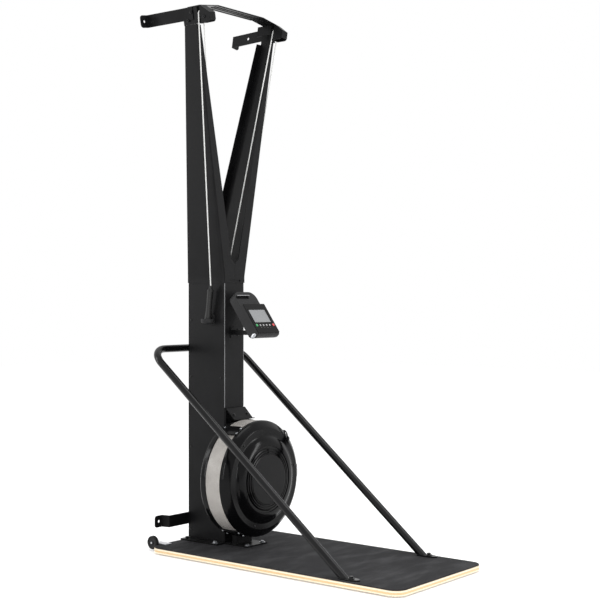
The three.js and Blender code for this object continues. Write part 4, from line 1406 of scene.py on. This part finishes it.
@dataclass
class Bar:
    """The support bar: one tube up from a foot, across behind the column and down again."""

    fasteners: Fasteners
    radius: float = 0.015
    foot_out: float = 0.252
    flare: float = 0.007
    foot_y: float = -0.3765
    back_y: float = 0.5945
    height: float = 0.814
    bend: float = 0.085
    bend_steps: int = 20
    sides: int = 48
    angle: float = 50.0
    plate: float = 0.005
    nut: Pair = (0.0085, 0.009)
    nut_inset: float = 0.037

    def half_path(self, floor: float) -> list[Vector]:
        """The path of the right half, from the foot to the bend's end.

        Args:
            floor: The top of the platform.

        Returns:
            The points of the path.
        """
        low = Vector((self.foot_out, self.foot_y, floor))
        corner = Vector((self.foot_out + self.flare, self.back_y, self.height))
        down = (low - corner).normalized()
        along = -Axis.X.vector
        half = down.angle(along) / 2
        middle = corner + (down + along).normalized() * self.bend / math.sin(half)
        first, last = (corner + way * self.bend / math.tan(half) - middle for way in (down, along))
        shares = [i / self.bend_steps for i in range(self.bend_steps + 1)]
        bend = [middle + first.slerp(last, share) * self.bend for share in shares]
        return [low + down * self.radius * 2, *bend]

    def build(self) -> None:
        """Build the bar and its feet."""
        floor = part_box("board_cover")[1].z
        half = self.half_path(floor)
        path = [*half, *(Vector((-point.x, point.y, point.z)) for point in reversed(half))]
        bar = tube("support_bar_tube", path, self.radius, self.sides)
        seat = floor + FIT + self.plate
        cut_off(bar, UP * (seat + FIT), -UP)
        complete(bar, TUBE, "frame", "support_bar", angle=self.angle)
        for side in Side:
            node = f"support_foot_{side.word}"
            worked(node, TUBE, Edge.PLATE)
            place = Vector((middle_of(node).x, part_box(node)[0].y + self.nut_inset, seat))
            self.fasteners.lay(Head.HEX, self.nut, SCREW, {f"foot_nut_{side.word}": (place, UP)})


@dataclass
class Handles:
    """The two handles and the cups that they rest in. Their profiles are in millimetres."""

    fasteners: Fasteners
    lean: Pair = (-0.006, 0.022)
    length: float = 0.142
    collar: Steps = ((4.2, 0), (6.3, 0.6), (7, 2), (7, 11), (8.2, 12.5), (12, 17.5), (13, 19.5))
    grip: float = 0.013
    waist: float = 0.0115
    first_rib: float = 0.030
    rib_count: int = 9
    rib_pitch: float = 0.0085
    rib: Steps = ((0, 0), (-0.7, 1.2), (-0.7, 2.2), (0, 3.4))
    end: Steps = ((13, -24), (13.9, -10), (14.5, -6), (14.5, -3), (13.3, -0.8), (11.5, 0), (5.075, 0))
    cup: Steps = ((0.5, -12), (9.8, -12), (17.36, -10.6), (23.52, -7.2), (26.6, -3), (28, 2.5), (28, 9),
                  (27, 10), (26, 10), (25, 9), (25, 3), (23.5, 1.5), (22, 0), (0.5, 0))
    cup_gap: float = 0.0032
    cup_depth: float = 0.012
    sides: int = 48
    grip_angle: float = 50.0
    cup_angle: float = 45.0
    plate: Triple = (0.0032, 0.042, 0.040)
    plate_corner: float = 0.008
    plate_steps: int = 6
    plate_edge: float = 0.0005
    screw: Pair = (0.003, 0.0016)
    screw_out: float = 0.013
    screw_up: float = 0.034

    def grip_profile(self) -> Profile:
        """The handle's profile, from the cord's end to its lower end.

        Returns:
            The stations.
        """
        ribs = []
        for number in range(self.rib_count):
            along = self.first_rib + number * self.rib_pitch
            share = 1 - abs(2 * along / self.length - 1)
            ribs += points_from(self.grip - (self.grip - self.waist) * share, along, *self.rib)
        return [*points_from(0, 0, *self.collar), *ribs, *points_from(0, self.length, *self.end)]

    def build(self) -> None:
        """Build both handles and cups."""
        for side in Side:
            body = f"handle_{side.word}"
            top = handle_top(side)
            run = Vector((side.value * self.lean[0], self.lean[1], 0))
            run.z = -math.sqrt(self.length ** 2 - run.length ** 2)
            handle = turned(f"{body}_grip", Vector(), Axis.Z, self.grip_profile(), self.sides)
            handle.data.transform(facing(top, run))
            complete(handle, GRIP, body, body, angle=self.grip_angle)
            self.holder(side, top + run)

    def holder(self, side: Side, bottom: Vector) -> None:
        """The round-bottomed cup with its back plate.

        Args:
            side: The side of the machine.
            bottom: The handle's lower end.
        """
        floor = bottom.z - self.cup_gap - FIT
        low = floor - self.cup_depth
        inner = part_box("column_shell")[1].x + FIT
        centre = Vector((bottom.x, bottom.y, floor))
        cup = turned(f"handle_cup_{side.word}", centre, Axis.Z, points_from(0, 0, *self.cup), self.sides)
        cut_off(cup, side.out * inner, -side.out)
        complete(cup, NYLON, "frame", f"handle_holder_{side.word}", angle=self.cup_angle)
        thick, width, height = self.plate
        outer = side.value * (inner + thick)
        corner = Vector((side.value * inner, bottom.y - width / 2, low))
        far = Vector((outer, bottom.y + width / 2, low + height))
        plate = block(f"handle_cup_plate_{side.word}", corner, far, self.plate_edge)
        with editing(plate):
            pick(plate, Select.EDGE, lambda edge: runs_along(edge, Axis.X) and edge.verts[0].co.z > floor)
            bevel_corners(self.plate_corner, self.plate_steps)
        complete(plate, NYLON)
        self.fasteners.lay(Head.BUTTON, self.screw, SCREW, {
            f"cup_screw_{side.word}_{turn + 2}":
            (Vector((outer, bottom.y + turn * self.screw_out, low + self.screw_up)), side.out)
            for turn in (-1, 1)})


@dataclass
class Fan:
    """The fan: covers, perforated band, damper ring with its lever, clips, cap and the wheel inside.

    Its profiles are in millimetres, outwards and along the machine's Y axis.
    """

    fasteners: Fasteners
    radius: float = 0.232
    eye: float = 0.1
    hub: float = 0.0005
    sides: int = 144
    angle: float = 32.0
    boss: float = 0.066
    boss_depth: float = 0.0237
    boss_root: Steps = ((0, 4), *arc(4, 4, 4, 180, 270, 4))
    boss_lip: Steps = ((-6, 0), (0, 0))
    grooves: Steps = ((116, 0), (117.16, -1.4), (122.96, -1.4), (124.12, 0),
                      (180.96, 0), (182.12, -1.4), (187.92, -1.4), (189.08, 0))
    rear_rim: Steps = (*arc(-10, -10, 10, 90, 0, 8),)
    rear_bead: Steps = ((0, 7.5), (-0.7, 6.6), (-0.7, 5.2), *arc(-1, 3, 1.8, 60, -60, 6), (-1.2, 0),
                        (-2.5, 0))
    rear_inside: Steps = ((-2.5, -12), (-12, -2.5), (-172, -2.5))
    band: Steps = ((-2, 0), (-0.4, 0), (0, 0.6), (0, 3), (-0.6, 3.6))
    rim: Steps = ((-0.8, 0), (0, -1), (0, -2.8))
    bevel: Steps = ((-0.6, -3.4), (-4, -9), (-11, -15.2), (-20, -22.2), (-29, -27.6), (-34, -28.3))
    shelf: Steps = ((-54, -28.4), (-56.2, -29.2))
    plateau: Steps = ((-56.8, -30), (-61, -31.8), (-70, -37.8), (-82, -42.8), (-95, -45.2))
    rings: Steps = ((132, 124.5, 3.2), (119.5, 114.5, 3.0), (109, 105, 3.0))
    ring_level: float = -45.5
    ring_slope: float = 0.13
    ring_lead: float = 0.6
    ring_draft: float = 0.4
    ring_sink: float = 0.2
    ring_fall: float = 0.8
    lip: Steps = ((0.6, 0.2), (0, 0.8), (0, 12), (-89.5, 12), (-89.5, 14.5), (3, 14.5))
    front_inside: Steps = ((-98, -40), (-60, -27), (-36, -25.5), (-24, -21), (-5, -4), (-3.5, 0), (-0.8, 0))
    index_low: Triple = (-0.0008, -0.0495, 0.0015)
    index_high: Triple = (0.0008, -0.0440, 0.0215)
    index_edge: float = 0.0004
    damper_depth: float = 0.006
    damper_ring: Steps = ((-9, 0), (-0.8, 0), (0, -0.8), (0, -2.2), (-0.8, -2.8), (-0.8, -3.6), (0, -4.2),
                          (0, -5.2), (-0.8, -6), (-9, -6), (-9, 0))
    lever_angle: float = 48.0
    lever_half: float = 0.0065
    lever_thick: float = 0.005
    lever_start: float = 0.0001
    lever_edge: float = 0.0012
    lever_sharp: float = 40.0
    lever_path: Steps = ((6.5, 0), (6.5, -10), (3, -18), (-6, -26.5), (-16, -34.5), (-26, -40.5),
                         (-46, -42.5))
    grip_ribs: Steps = ((-24, -43.2), (-28.5, -43.8), (-33, -44.4), (-37.5, -45), (-42, -45.6))
    grip_low: Triple = (-0.0075, -0.0022, -0.0011)
    grip_high: Triple = (0.0075, 0.002, 0.0011)
    grip_edge: float = 0.0007
    disc_edge: Steps = ((0, 1.8), (-1.2, 0.6), (-3, 0.2), (-39.88, 0))
    clip_angles: tuple[float, ...] = (122.0, 242.0, 2.0)
    clip_half: float = 6.2
    clip_gap: float = 0.0012
    clip_rear: float = 0.012
    clip_front: float = 0.006
    clip_edge: float = 0.0006
    clip_sharp: float = 50.0
    clip_back: Steps = ((0, 0), (2.2, 0), (3, -1), (3, -14), (5.5, -18))
    clip_nose: Steps = ((5.5, 16), (3, 12), (3, 1), (2.2, 0), (0, 0))
    clip_bolt: Pair = (0.0042, 0.003)
    clip_bolt_turn: float = 3.6
    clip_bolt_places: Steps = ((3, -7), (3, 6))
    screw: Pair = (0.0048, 0.0022)
    screw_angles: tuple[float, ...] = (131.0, 251.0, 11.0)
    screw_ring: float = 0.1905
    screw_seat: float = 0.0284
    hood_fold: float = 0.003
    hood_bolt: Pair = (0.0052, 0.005)
    hood_place: Triple = (0.040, -0.0335, -0.0255)
    cradle_bolt: Pair = (0.0078, 0.0068)
    cradle_inset: float = 0.014
    cradle_sheet: float = 0.005

    @property
    def axis(self) -> Vector:
        """The point of the fan's axis at Y = 0."""
        return UP * middle_of("fan_cap").z

    @property
    def ring_back(self) -> float:
        """The rear face of the damper ring."""
        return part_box("fan_mesh")[0].y - FIT

    @property
    def ring_front(self) -> float:
        """The front face of the damper ring."""
        return self.ring_back - self.damper_depth

    def build(self) -> None:
        """Build the fan from the column outwards."""
        self.rear_cover()
        low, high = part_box("fan_mesh")
        self.spun("fan_band", ring_profile(high.z - self.axis.z, high.y, low.y, *self.band), MESH, "frame",
                  "fan_mesh")
        self.front_cover()
        self.spun("damper_ring_rim", points_from(self.radius, self.ring_back, *self.damper_ring), GLOSS,
                  "damper", "damper_ring")
        self.lever()
        self.disc()
        self.clips()
        worked("flywheel", STEEL, Edge.NONE, "flywheel")
        worked("fan_axle", STEEL, body="flywheel")
        worked("fan_upper_bracket", COAT, Edge.SHEET, fold=self.hood_fold)
        worked("fan_lower_bracket", COAT, Edge.SHEET)
        self.bracket_bolts()

    def spun(self, name: str, stations: Profile, finish: Finish, body: str, *nodes: str) -> None:
        """Turn a ring about the fan's axis and dress it."""
        complete(turned(name, self.axis, Axis.Y, stations, self.sides), finish, body, *nodes,
                 angle=self.angle)

    def rear_cover(self) -> None:
        """The dish behind the perforated band, with a bead along its front edge."""
        low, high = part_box("fan_rear_cover")
        rear = high.y - self.boss_depth
        start = (self.boss, high.y)
        self.spun("fan_rear_dish", [
            start, *points_from(self.boss, rear, *self.boss_root), *points_from(0, rear, *self.grooves),
            *points_from(self.radius, rear, *self.rear_rim),
            *points_from(self.radius, low.y, *self.rear_bead),
            *points_from(self.radius, rear, *self.rear_inside), *points_from(*start, *self.boss_lip),
        ], GLOSS, "frame", "fan_rear_cover")

    def front_cover(self) -> None:
        """The front cover: a bevelled rim, a flat shelf, and a grooved plateau round the centre."""
        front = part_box("fan_front_cover")[0].y
        rear = self.ring_front - FIT
        rim, bevel, shelf, plateau, inside = (
            points_from(self.radius, rear, *steps)
            for steps in (self.rim, self.bevel, self.shelf, self.plateau, self.front_inside))
        rings = []
        for outer, inner, drop in self.rings:
            level = self.ring_level - (self.rings[0][0] - outer) * self.ring_slope
            lead, draft, bottom = self.ring_lead, self.ring_draft, level + drop
            rings += points_from(0, rear, (outer + lead, level), (outer, level + lead),
                                 (outer - draft, bottom), (inner + draft, bottom),
                                 (inner, level - self.ring_sink), (inner - lead, level - self.ring_fall))
        self.spun("fan_front_dish", [
            *rim, *smoothed(bevel), *shelf, *smoothed(plateau), *rings,
            *points_from(self.eye, front, *self.lip), *inside], GLOSS, "frame", "fan_front_cover")
        centre = self.axis + Vector((0, rear, self.eye))
        complete(block("fan_index_line", centre + Vector(self.index_low), centre + Vector(self.index_high),
                       self.index_edge), GLOSS)

    def lever(self) -> None:
        """A bar that climbs over the cover's rim, with a ribbed grip at its end."""
        path = points_from(self.radius, self.ring_back, *self.lever_path)
        out, along = path[0]
        root = Vector((-self.lever_half, along - self.lever_start, out - self.lever_thick))
        bar = block("damper_lever", root, Vector((self.lever_half, along, out)))
        with editing(bar):
            pick(bar, Select.FACE, lambda face: face.normal.y < -SQUARE_ON)
            for (out, along), (next_out, next_along) in pairwise(path):
                step = Vector((0, next_along - along, next_out - out))
                bpy.ops.mesh.extrude_region_move(TRANSFORM_OT_translate={"value": step})
            close_up()
        round_edges(bar, self.lever_edge, 3, self.lever_sharp)
        parts = [bar]
        for out, along in points_from(self.radius, self.ring_back, *self.grip_ribs):
            place = Vector((0, along, out))
            parts.append(block("damper_rib", place + Vector(self.grip_low), place + Vector(self.grip_high),
                               self.grip_edge))
        turn = Matrix.Rotation(math.radians(90 - self.lever_angle), 4, "Y")
        complete(join_pieces(parts, "damper_lever"), GLOSS, "damper",
                 place=Matrix.Translation(self.axis) @ turn)

    def disc(self) -> None:
        """The smooth disc over the centre, left bare."""
        low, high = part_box("fan_cap")
        edge = self.eye - FIT
        self.spun("fan_centre_disc", [
            (self.hub, high.y), (edge, high.y), *points_from(edge, low.y, *self.disc_edge), (self.hub, low.y),
        ], COVER, "frame", "fan_cap")

    def radial(self, angle: float, out: float = 1.0, along: float = 0.0) -> Vector:
        """A step from the fan's axis, at an angle in degrees from +X towards +Z."""
        turn = math.radians(angle)
        return Vector((out * math.cos(turn), along, out * math.sin(turn)))

    def clips(self) -> None:
        """The three clips that bridge the band, and the screws of the front cover."""
        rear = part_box("fan_rear_cover")[0].y + self.clip_rear
        front = self.ring_front - self.clip_front
        inner = self.radius + self.clip_gap
        back = points_from(inner, rear, *self.clip_back)
        stations = [*back, *points_from(inner, front, *self.clip_nose), back[0]]
        (out, behind), (_, ahead) = ((inner + x * MM, y * MM) for x, y in self.clip_bolt_places)
        for number, angle in enumerate(self.clip_angles, 1):
            strip = turned(f"fan_clip_{number}", self.axis, Axis.Y, stations, self.sides)
            for sign in (-1, 1):
                cut_off(strip, self.axis, self.radial(angle + sign * (self.clip_half + 90)))
            cut_off(strip, self.axis, -self.radial(angle))
            round_edges(strip, self.clip_edge, angle=self.clip_sharp)
            complete(strip, GLOSS)
            corners = [(angle + turn, along) for turn in (-self.clip_bolt_turn, self.clip_bolt_turn)
                       for along in (rear + behind, front + ahead)]
            self.fasteners.lay(Head.BUTTON, self.clip_bolt, STEEL, {
                f"clip_bolt_{number}_{corner}": (self.axis + self.radial(at, out, along), self.radial(at))
                for corner, (at, along) in enumerate(corners, 1)})
        seat = self.ring_front - FIT - self.screw_seat
        self.fasteners.lay(Head.BUTTON, self.screw, SCREW, {
            f"cover_screw_{number}": (self.axis + self.radial(angle, self.screw_ring, seat), FORWARD)
            for number, angle in enumerate(self.screw_angles, 1)})

    def bracket_bolts(self) -> None:
        """Bolts through the hood on the column and through the cradle on the platform."""
        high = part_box("fan_upper_bracket")[1]
        out, y, z = self.hood_place
        self.fasteners.lay(Head.HEX, self.hood_bolt, SCREW, {
            f"hood_bolt_{number}": (Vector((x, high.y + y, high.z + z)), FORWARD + UP)
            for number, x in enumerate((-out, out), 1)})
        low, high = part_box("fan_lower_bracket")
        y, z = low.y + self.cradle_inset, low.z + self.cradle_sheet
        self.fasteners.lay(Head.HEX, self.cradle_bolt, STEEL, {
            f"cradle_bolt_{number}": (Vector((x, y, z)), UP)
            for number, x in enumerate((low.x + self.cradle_inset, high.x - self.cradle_inset), 1)})


@dataclass
class Console:
    """The console: its housing, glossy face, screen, keys and phone ledge."""

    fasteners: Fasteners
    lean: float = math.radians(54)
    origin: Triple = (0.0, 0.227, 0.9425)
    # The lip is a pale strip on the phone ledge: a painted highlight of its front edge.
    lip_in: Pair = (0.001, 0.0002)
    lip_height: float = 0.0012
    lip_edge: float = 0.0005
    glass: Colour = (-0.053, 0.048, -0.023, 0.040)
    bezel_width: float = 0.0022
    bezel_corner: float = 0.003
    bezel_steps: int = 5
    bezel_edge: float = 0.0003
    bezel_sharp: float = 50.0
    bezel_from: float = 0.0001
    bezel_to: float = 0.0012
    key_shaft: Steps = ((0, -2.6), (0, 0.2), (-0.4, 0.6))
    key_dome: Steps = ((0, 0.7), (-0.3, 1.1), (-1, 1.4))
    key_top: Steps = ((0, 1.7), (0, 1.8))
    key_hub: float = 0.3
    key_sides: int = 32
    white_share: float = 0.8
    top_share: float = 0.4
    mark_row: float = -0.0475
    mark_sides: int = 16
    mark: Steps = ((0.2, 0.1), (1.1, 0.1), (1.1, 0.3), (0.77, 0.4), (0.2, 0.4))
    cap_place: Triple = (-0.0652, -0.068, -0.029)
    cap: Steps = ((0.4, 0), (8.5, 0), (8.5, 0.8), (7.8, 1.8), (5.5, 2.4), (0.4, 2.6))
    cap_stretch: Triple = (1.0, 1.7, 1.0)
    cap_sides: int = 40
    bolt: Pair = (0.0042, 0.0026)
    bolt_lift: float = 0.0035
    bolts: Steps = ((-0.019, 0.893), (-0.019, 0.869), (0.019, 0.893), (0.019, 0.869))

    @property
    def desk(self) -> Matrix:
        """The matrix from the panel's own frame to the machine's."""
        return Matrix.Translation(Vector(self.origin)) @ Matrix.Rotation(self.lean, 4, "X")

    def build(self) -> None:
        """Build the console on its bracket."""
        worked("console_bracket", COAT, Edge.PLATE)
        worked("console_housing", NYLON, Edge.MOULDED, "console")
        worked("console_panel", GLOSS, body="console")
        worked("console_screen", SCREEN, Edge.FINE, "console")
        worked("phone_rest", NYLON, Edge.PLATE, "console")
        self.lip()
        self.bezel()
        for name, finish in (("start", GREEN), *((str(n), WHITE) for n in range(1, 5)), ("stop", RED)):
            self.key(f"button_{name}", finish)
        self.marks()
        self.side_cap()
        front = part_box("column_shell")[0].y - self.bolt_lift
        self.fasteners.lay(Head.BUTTON, self.bolt, SCREW, {
            f"console_bolt_{number}": (Vector((x, front, z)), FORWARD)
            for number, (x, z) in enumerate(self.bolts, 1)})

    def lip(self) -> None:
        """The pale strip along the phone ledge's front edge, a painted highlight of that edge."""
        back = self.desk.inverted()
        corners = [back @ vertex.co for vertex in bpy.data.objects["phone_rest"].data.vertices]
        low, high = (Vector(least(values) for values in zip(*corners)) for least in (min, max))
        x, y = self.lip_in
        bottom = high.z + FIT
        complete(block("phone_ledge_highlight", Vector((low.x + x, low.y + y, bottom)),
                       Vector((high.x - x, high.y - y, bottom + self.lip_height)), self.lip_edge, 3),
                 LIP_HIGHLIGHT, "console", place=self.desk)

    def bezel(self) -> None:
        """A thin raised frame round the screen."""
        left, right, bottom, top = self.glass
        width = self.bezel_width
        piece = block("screen_bezel", Vector((left - width, bottom - width, self.bezel_from)),
                      Vector((right + width, top + width, self.bezel_to)))
        with editing(piece):
            pick(piece, Select.EDGE, lambda edge: runs_along(edge, Axis.Z))
            bevel_corners(self.bezel_corner, self.bezel_steps)
            pick(piece, Select.FACE, lambda face: abs(face.normal.z) > SQUARE_ON)
            bpy.ops.mesh.inset(thickness=width, depth=0)
            bpy.ops.mesh.bridge_edge_loops()
            bpy.ops.mesh.select_all(action="SELECT")
            bpy.ops.mesh.normals_make_consistent(inside=False)
        round_edges(piece, self.bezel_edge, angle=self.bezel_sharp)
        complete(piece, GLOSS, "console", place=self.desk)

    def key_place(self, node: str) -> Vector:
        """The middle of a packed key in the panel's own frame."""
        return self.desk.inverted() @ middle_of(node)

    def key(self, node: str, finish: Finish) -> None:
        """A domed key. The white ones have a narrower dome.

        Args:
            node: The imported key.
            finish: Its finish.
        """
        low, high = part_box(node)
        radius = (high.x - low.x) / 2
        dome = radius * self.white_share if finish is WHITE else radius
        shaft = points_from(radius, 0, *self.key_shaft)
        top = points_from(dome * self.top_share, 0, self.key_top[0])
        hub = points_from(0, 0, (self.key_hub, self.key_shaft[0][1]), (self.key_hub, self.key_top[1][1]))
        place = self.key_place(node)
        piece = turned(f"{node}_dome", Vector((place.x, place.y, 0)), Axis.Z, [
            hub[0], *shaft, *points_from(dome, 0, *self.key_dome), *top, hub[1]], self.key_sides)
        piece.data.transform(self.desk)
        complete(piece, finish, node, node)

    def marks(self) -> None:
        """The row of small round marks under the keys."""
        model = turned("key_mark", Vector(), Axis.Z, points_from(0, 0, *self.mark), self.mark_sides)
        for number in range(1, 5):
            place = Matrix.Translation(Vector((self.key_place(f"button_{number}").x, self.mark_row, 0)))
            complete(copy_of(model, f"key_mark_{number}", self.desk @ place), WHITE, "console")
        bpy.data.objects.remove(model)

    def side_cap(self) -> None:
        """The bright oval cap low on the left side of the housing."""
        cap = turned("console_side_cap", Vector(), Axis.Z, points_from(0, 0, *self.cap), self.cap_sides)
        with editing(cap):
            bpy.ops.transform.resize(value=self.cap_stretch, center_override=(0, 0, 0))
        cap.data.transform(self.desk @ facing(Vector(self.cap_place), Side.LEFT.out))
        complete(cap, STEEL, "console")


@dataclass
class Wheels:
    """The transport wheels behind the platform's rear corners, with profiles in millimetres."""

    half: float = 0.008
    tyre: Steps = ((19, 1), (21.5, 0), *arc(23, 4, 4, 270, 360), (27, 5.8), (26.1, 6.6))
    hub: Steps = ((4.5, 0.6), (7.5, 0.6), (8.5, 2.2), (16.5, 2.6), (18.9, 1.4))
    tyre_sides: int = 64
    hub_sides: int = 48
    angle: float = 40.0

    def build(self) -> None:
        """Build both wheels with hubs, and their brackets."""
        for side in Side:
            node = f"transport_wheel_{side.word}"
            centre = middle_of(node)
            tyre, hub = (ring_profile(0, -self.half, self.half, *steps) for steps in (self.tyre, self.hub))
            complete(turned(f"{node}_tyre", centre, Axis.X, tyre, self.tyre_sides), RUBBER, node, node,
                     angle=self.angle)
            complete(turned(f"{node}_hub", centre, Axis.X, hub, self.hub_sides), NYLON, node,
                     angle=self.angle)
            worked(f"wheel_bracket_{side.word}", ZINC)


@dataclass
class Studio:
    """The camera at the photograph's place, the pale floor and the lamps."""

    eye: Triple = (-3.7170, -2.9445, 1.01665)
    heading: Triple = (0.7810, 0.6246, 0.0)
    lens: float = 73.26
    sensor: float = 36.0
    image: float = 600.0
    horizon: float = 299.07
    view_end: float = 100.0
    aim: Triple = (0, 0, 0.9)
    floor_half: float = 12.0
    floor_drop: float = 0.0005
    floor_lift: float = 0.24
    floor_roughness: float = 0.9
    world_strength: float = 0.8
    white: Colour = (1.0, 1.0, 1.0, 1.0)
    lamps: tuple[tuple[str, Triple, Pair, float], ...] = (
        ("key_lamp", (-4.2, -2.6, 1.6), (0.5, 2.4), 60),
        ("side_lamp", (2.6, -3.4, 1.5), (0.5, 2.6), 40),
        ("rear_lamp", (-2.2, 3.2, 1.8), (0.6, 2.6), 30),
        ("top_lamp", (0.6, -1.2, 4.6), (2.4, 2.4), 50))

    def hang(self, name: str, data: bpy.types.ID, place: Sequence[float], way: Vector) -> Piece:
        """Put a lamp or a camera at a place, looking along a direction.

        Args:
            name: The object's name.
            data: The lamp or camera.
            place: Its place.
            way: The direction that it looks in.

        Returns:
            The object.
        """
        thing = linked(name, data)
        thing.location = place
        thing.rotation_euler = way.to_track_quat("-Z", "Y").to_euler()
        return thing

    def camera(self) -> None:
        """Set the camera, level, with its horizon on the photograph's row."""
        data = bpy.data.cameras.new("camera")
        data.lens = self.lens
        data.sensor_width = self.sensor
        data.shift_y = (self.horizon - self.image / 2) / self.image
        data.clip_end = self.view_end
        bpy.context.scene.camera = self.hang("camera", data, self.eye, Vector(self.heading))

    def floor(self) -> None:
        """A pale floor that shows white to the camera and keeps the machine's shadow."""
        clear_selection()
        bpy.ops.mesh.primitive_plane_add(size=2 * self.floor_half, location=(0, 0, -self.floor_drop))
        floor = bpy.context.object
        floor.name = "floor"
        material = bpy.data.materials.new("pale_floor")
        material.use_nodes = True
        graph = Graph(material.node_tree)
        graph.fill(material.node_tree.nodes["Principled BSDF"], Base_Color=self.white,
                   Roughness=self.floor_roughness, Specular_IOR_Level=0.0, Emission_Color=self.white,
                   Emission_Strength=graph.times(graph.seen("Camera", "Glossy"), self.floor_lift))
        floor.data.materials.append(material)

    def lamp(self, name: str, place: Sequence[float], size: Pair, power: float) -> None:
        """A soft lamp, wide and high, that looks at the machine's middle.

        Args:
            name: The lamp's name.
            place: Its place.
            size: Its width and height.
            power: Its power in watts.
        """
        data = bpy.data.lights.new(name, "AREA")
        data.shape = "RECTANGLE"
        data.size, data.size_y = size
        data.energy = power
        self.hang(name, data, place, Vector(self.aim) - Vector(place))

    def world(self) -> None:
        """A white world with plain light on the machine."""
        world = bpy.data.worlds.new("studio")
        world.use_nodes = True
        bpy.context.scene.world = world
        graph = Graph(world.node_tree)
        strength = graph.add("MapRange", Value=graph.seen("Camera", "Glossy", "Transmission"),
                             To_Min=self.world_strength, To_Max=1.0).outputs[0]
        graph.fill(world.node_tree.nodes["Background"], Color=self.white, Strength=strength)

    def build(self) -> None:
        """Build the studio."""
        self.camera()
        self.floor()
        self.world()
        for lamp in self.lamps:
            self.lamp(*lamp)


def main() -> None:
    """Build the machine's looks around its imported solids."""
    logging.basicConfig(level=logging.INFO, format="%(message)s")
    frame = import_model()
    bpy.context.scene.view_settings.view_transform = "Standard"
    Studio().build()
    fasteners = Fasteners()
    Base().build()
    Column(fasteners).build()
    Arms(fasteners).build()
    Cords(frame["joints"]).build()
    Bar(fasteners).build()
    Handles(fasteners).build()
    Fan(fasteners).build()
    Console(fasteners).build()
    Wheels().build()
    clear_selection()


if __name__ == "__main__":
    main()
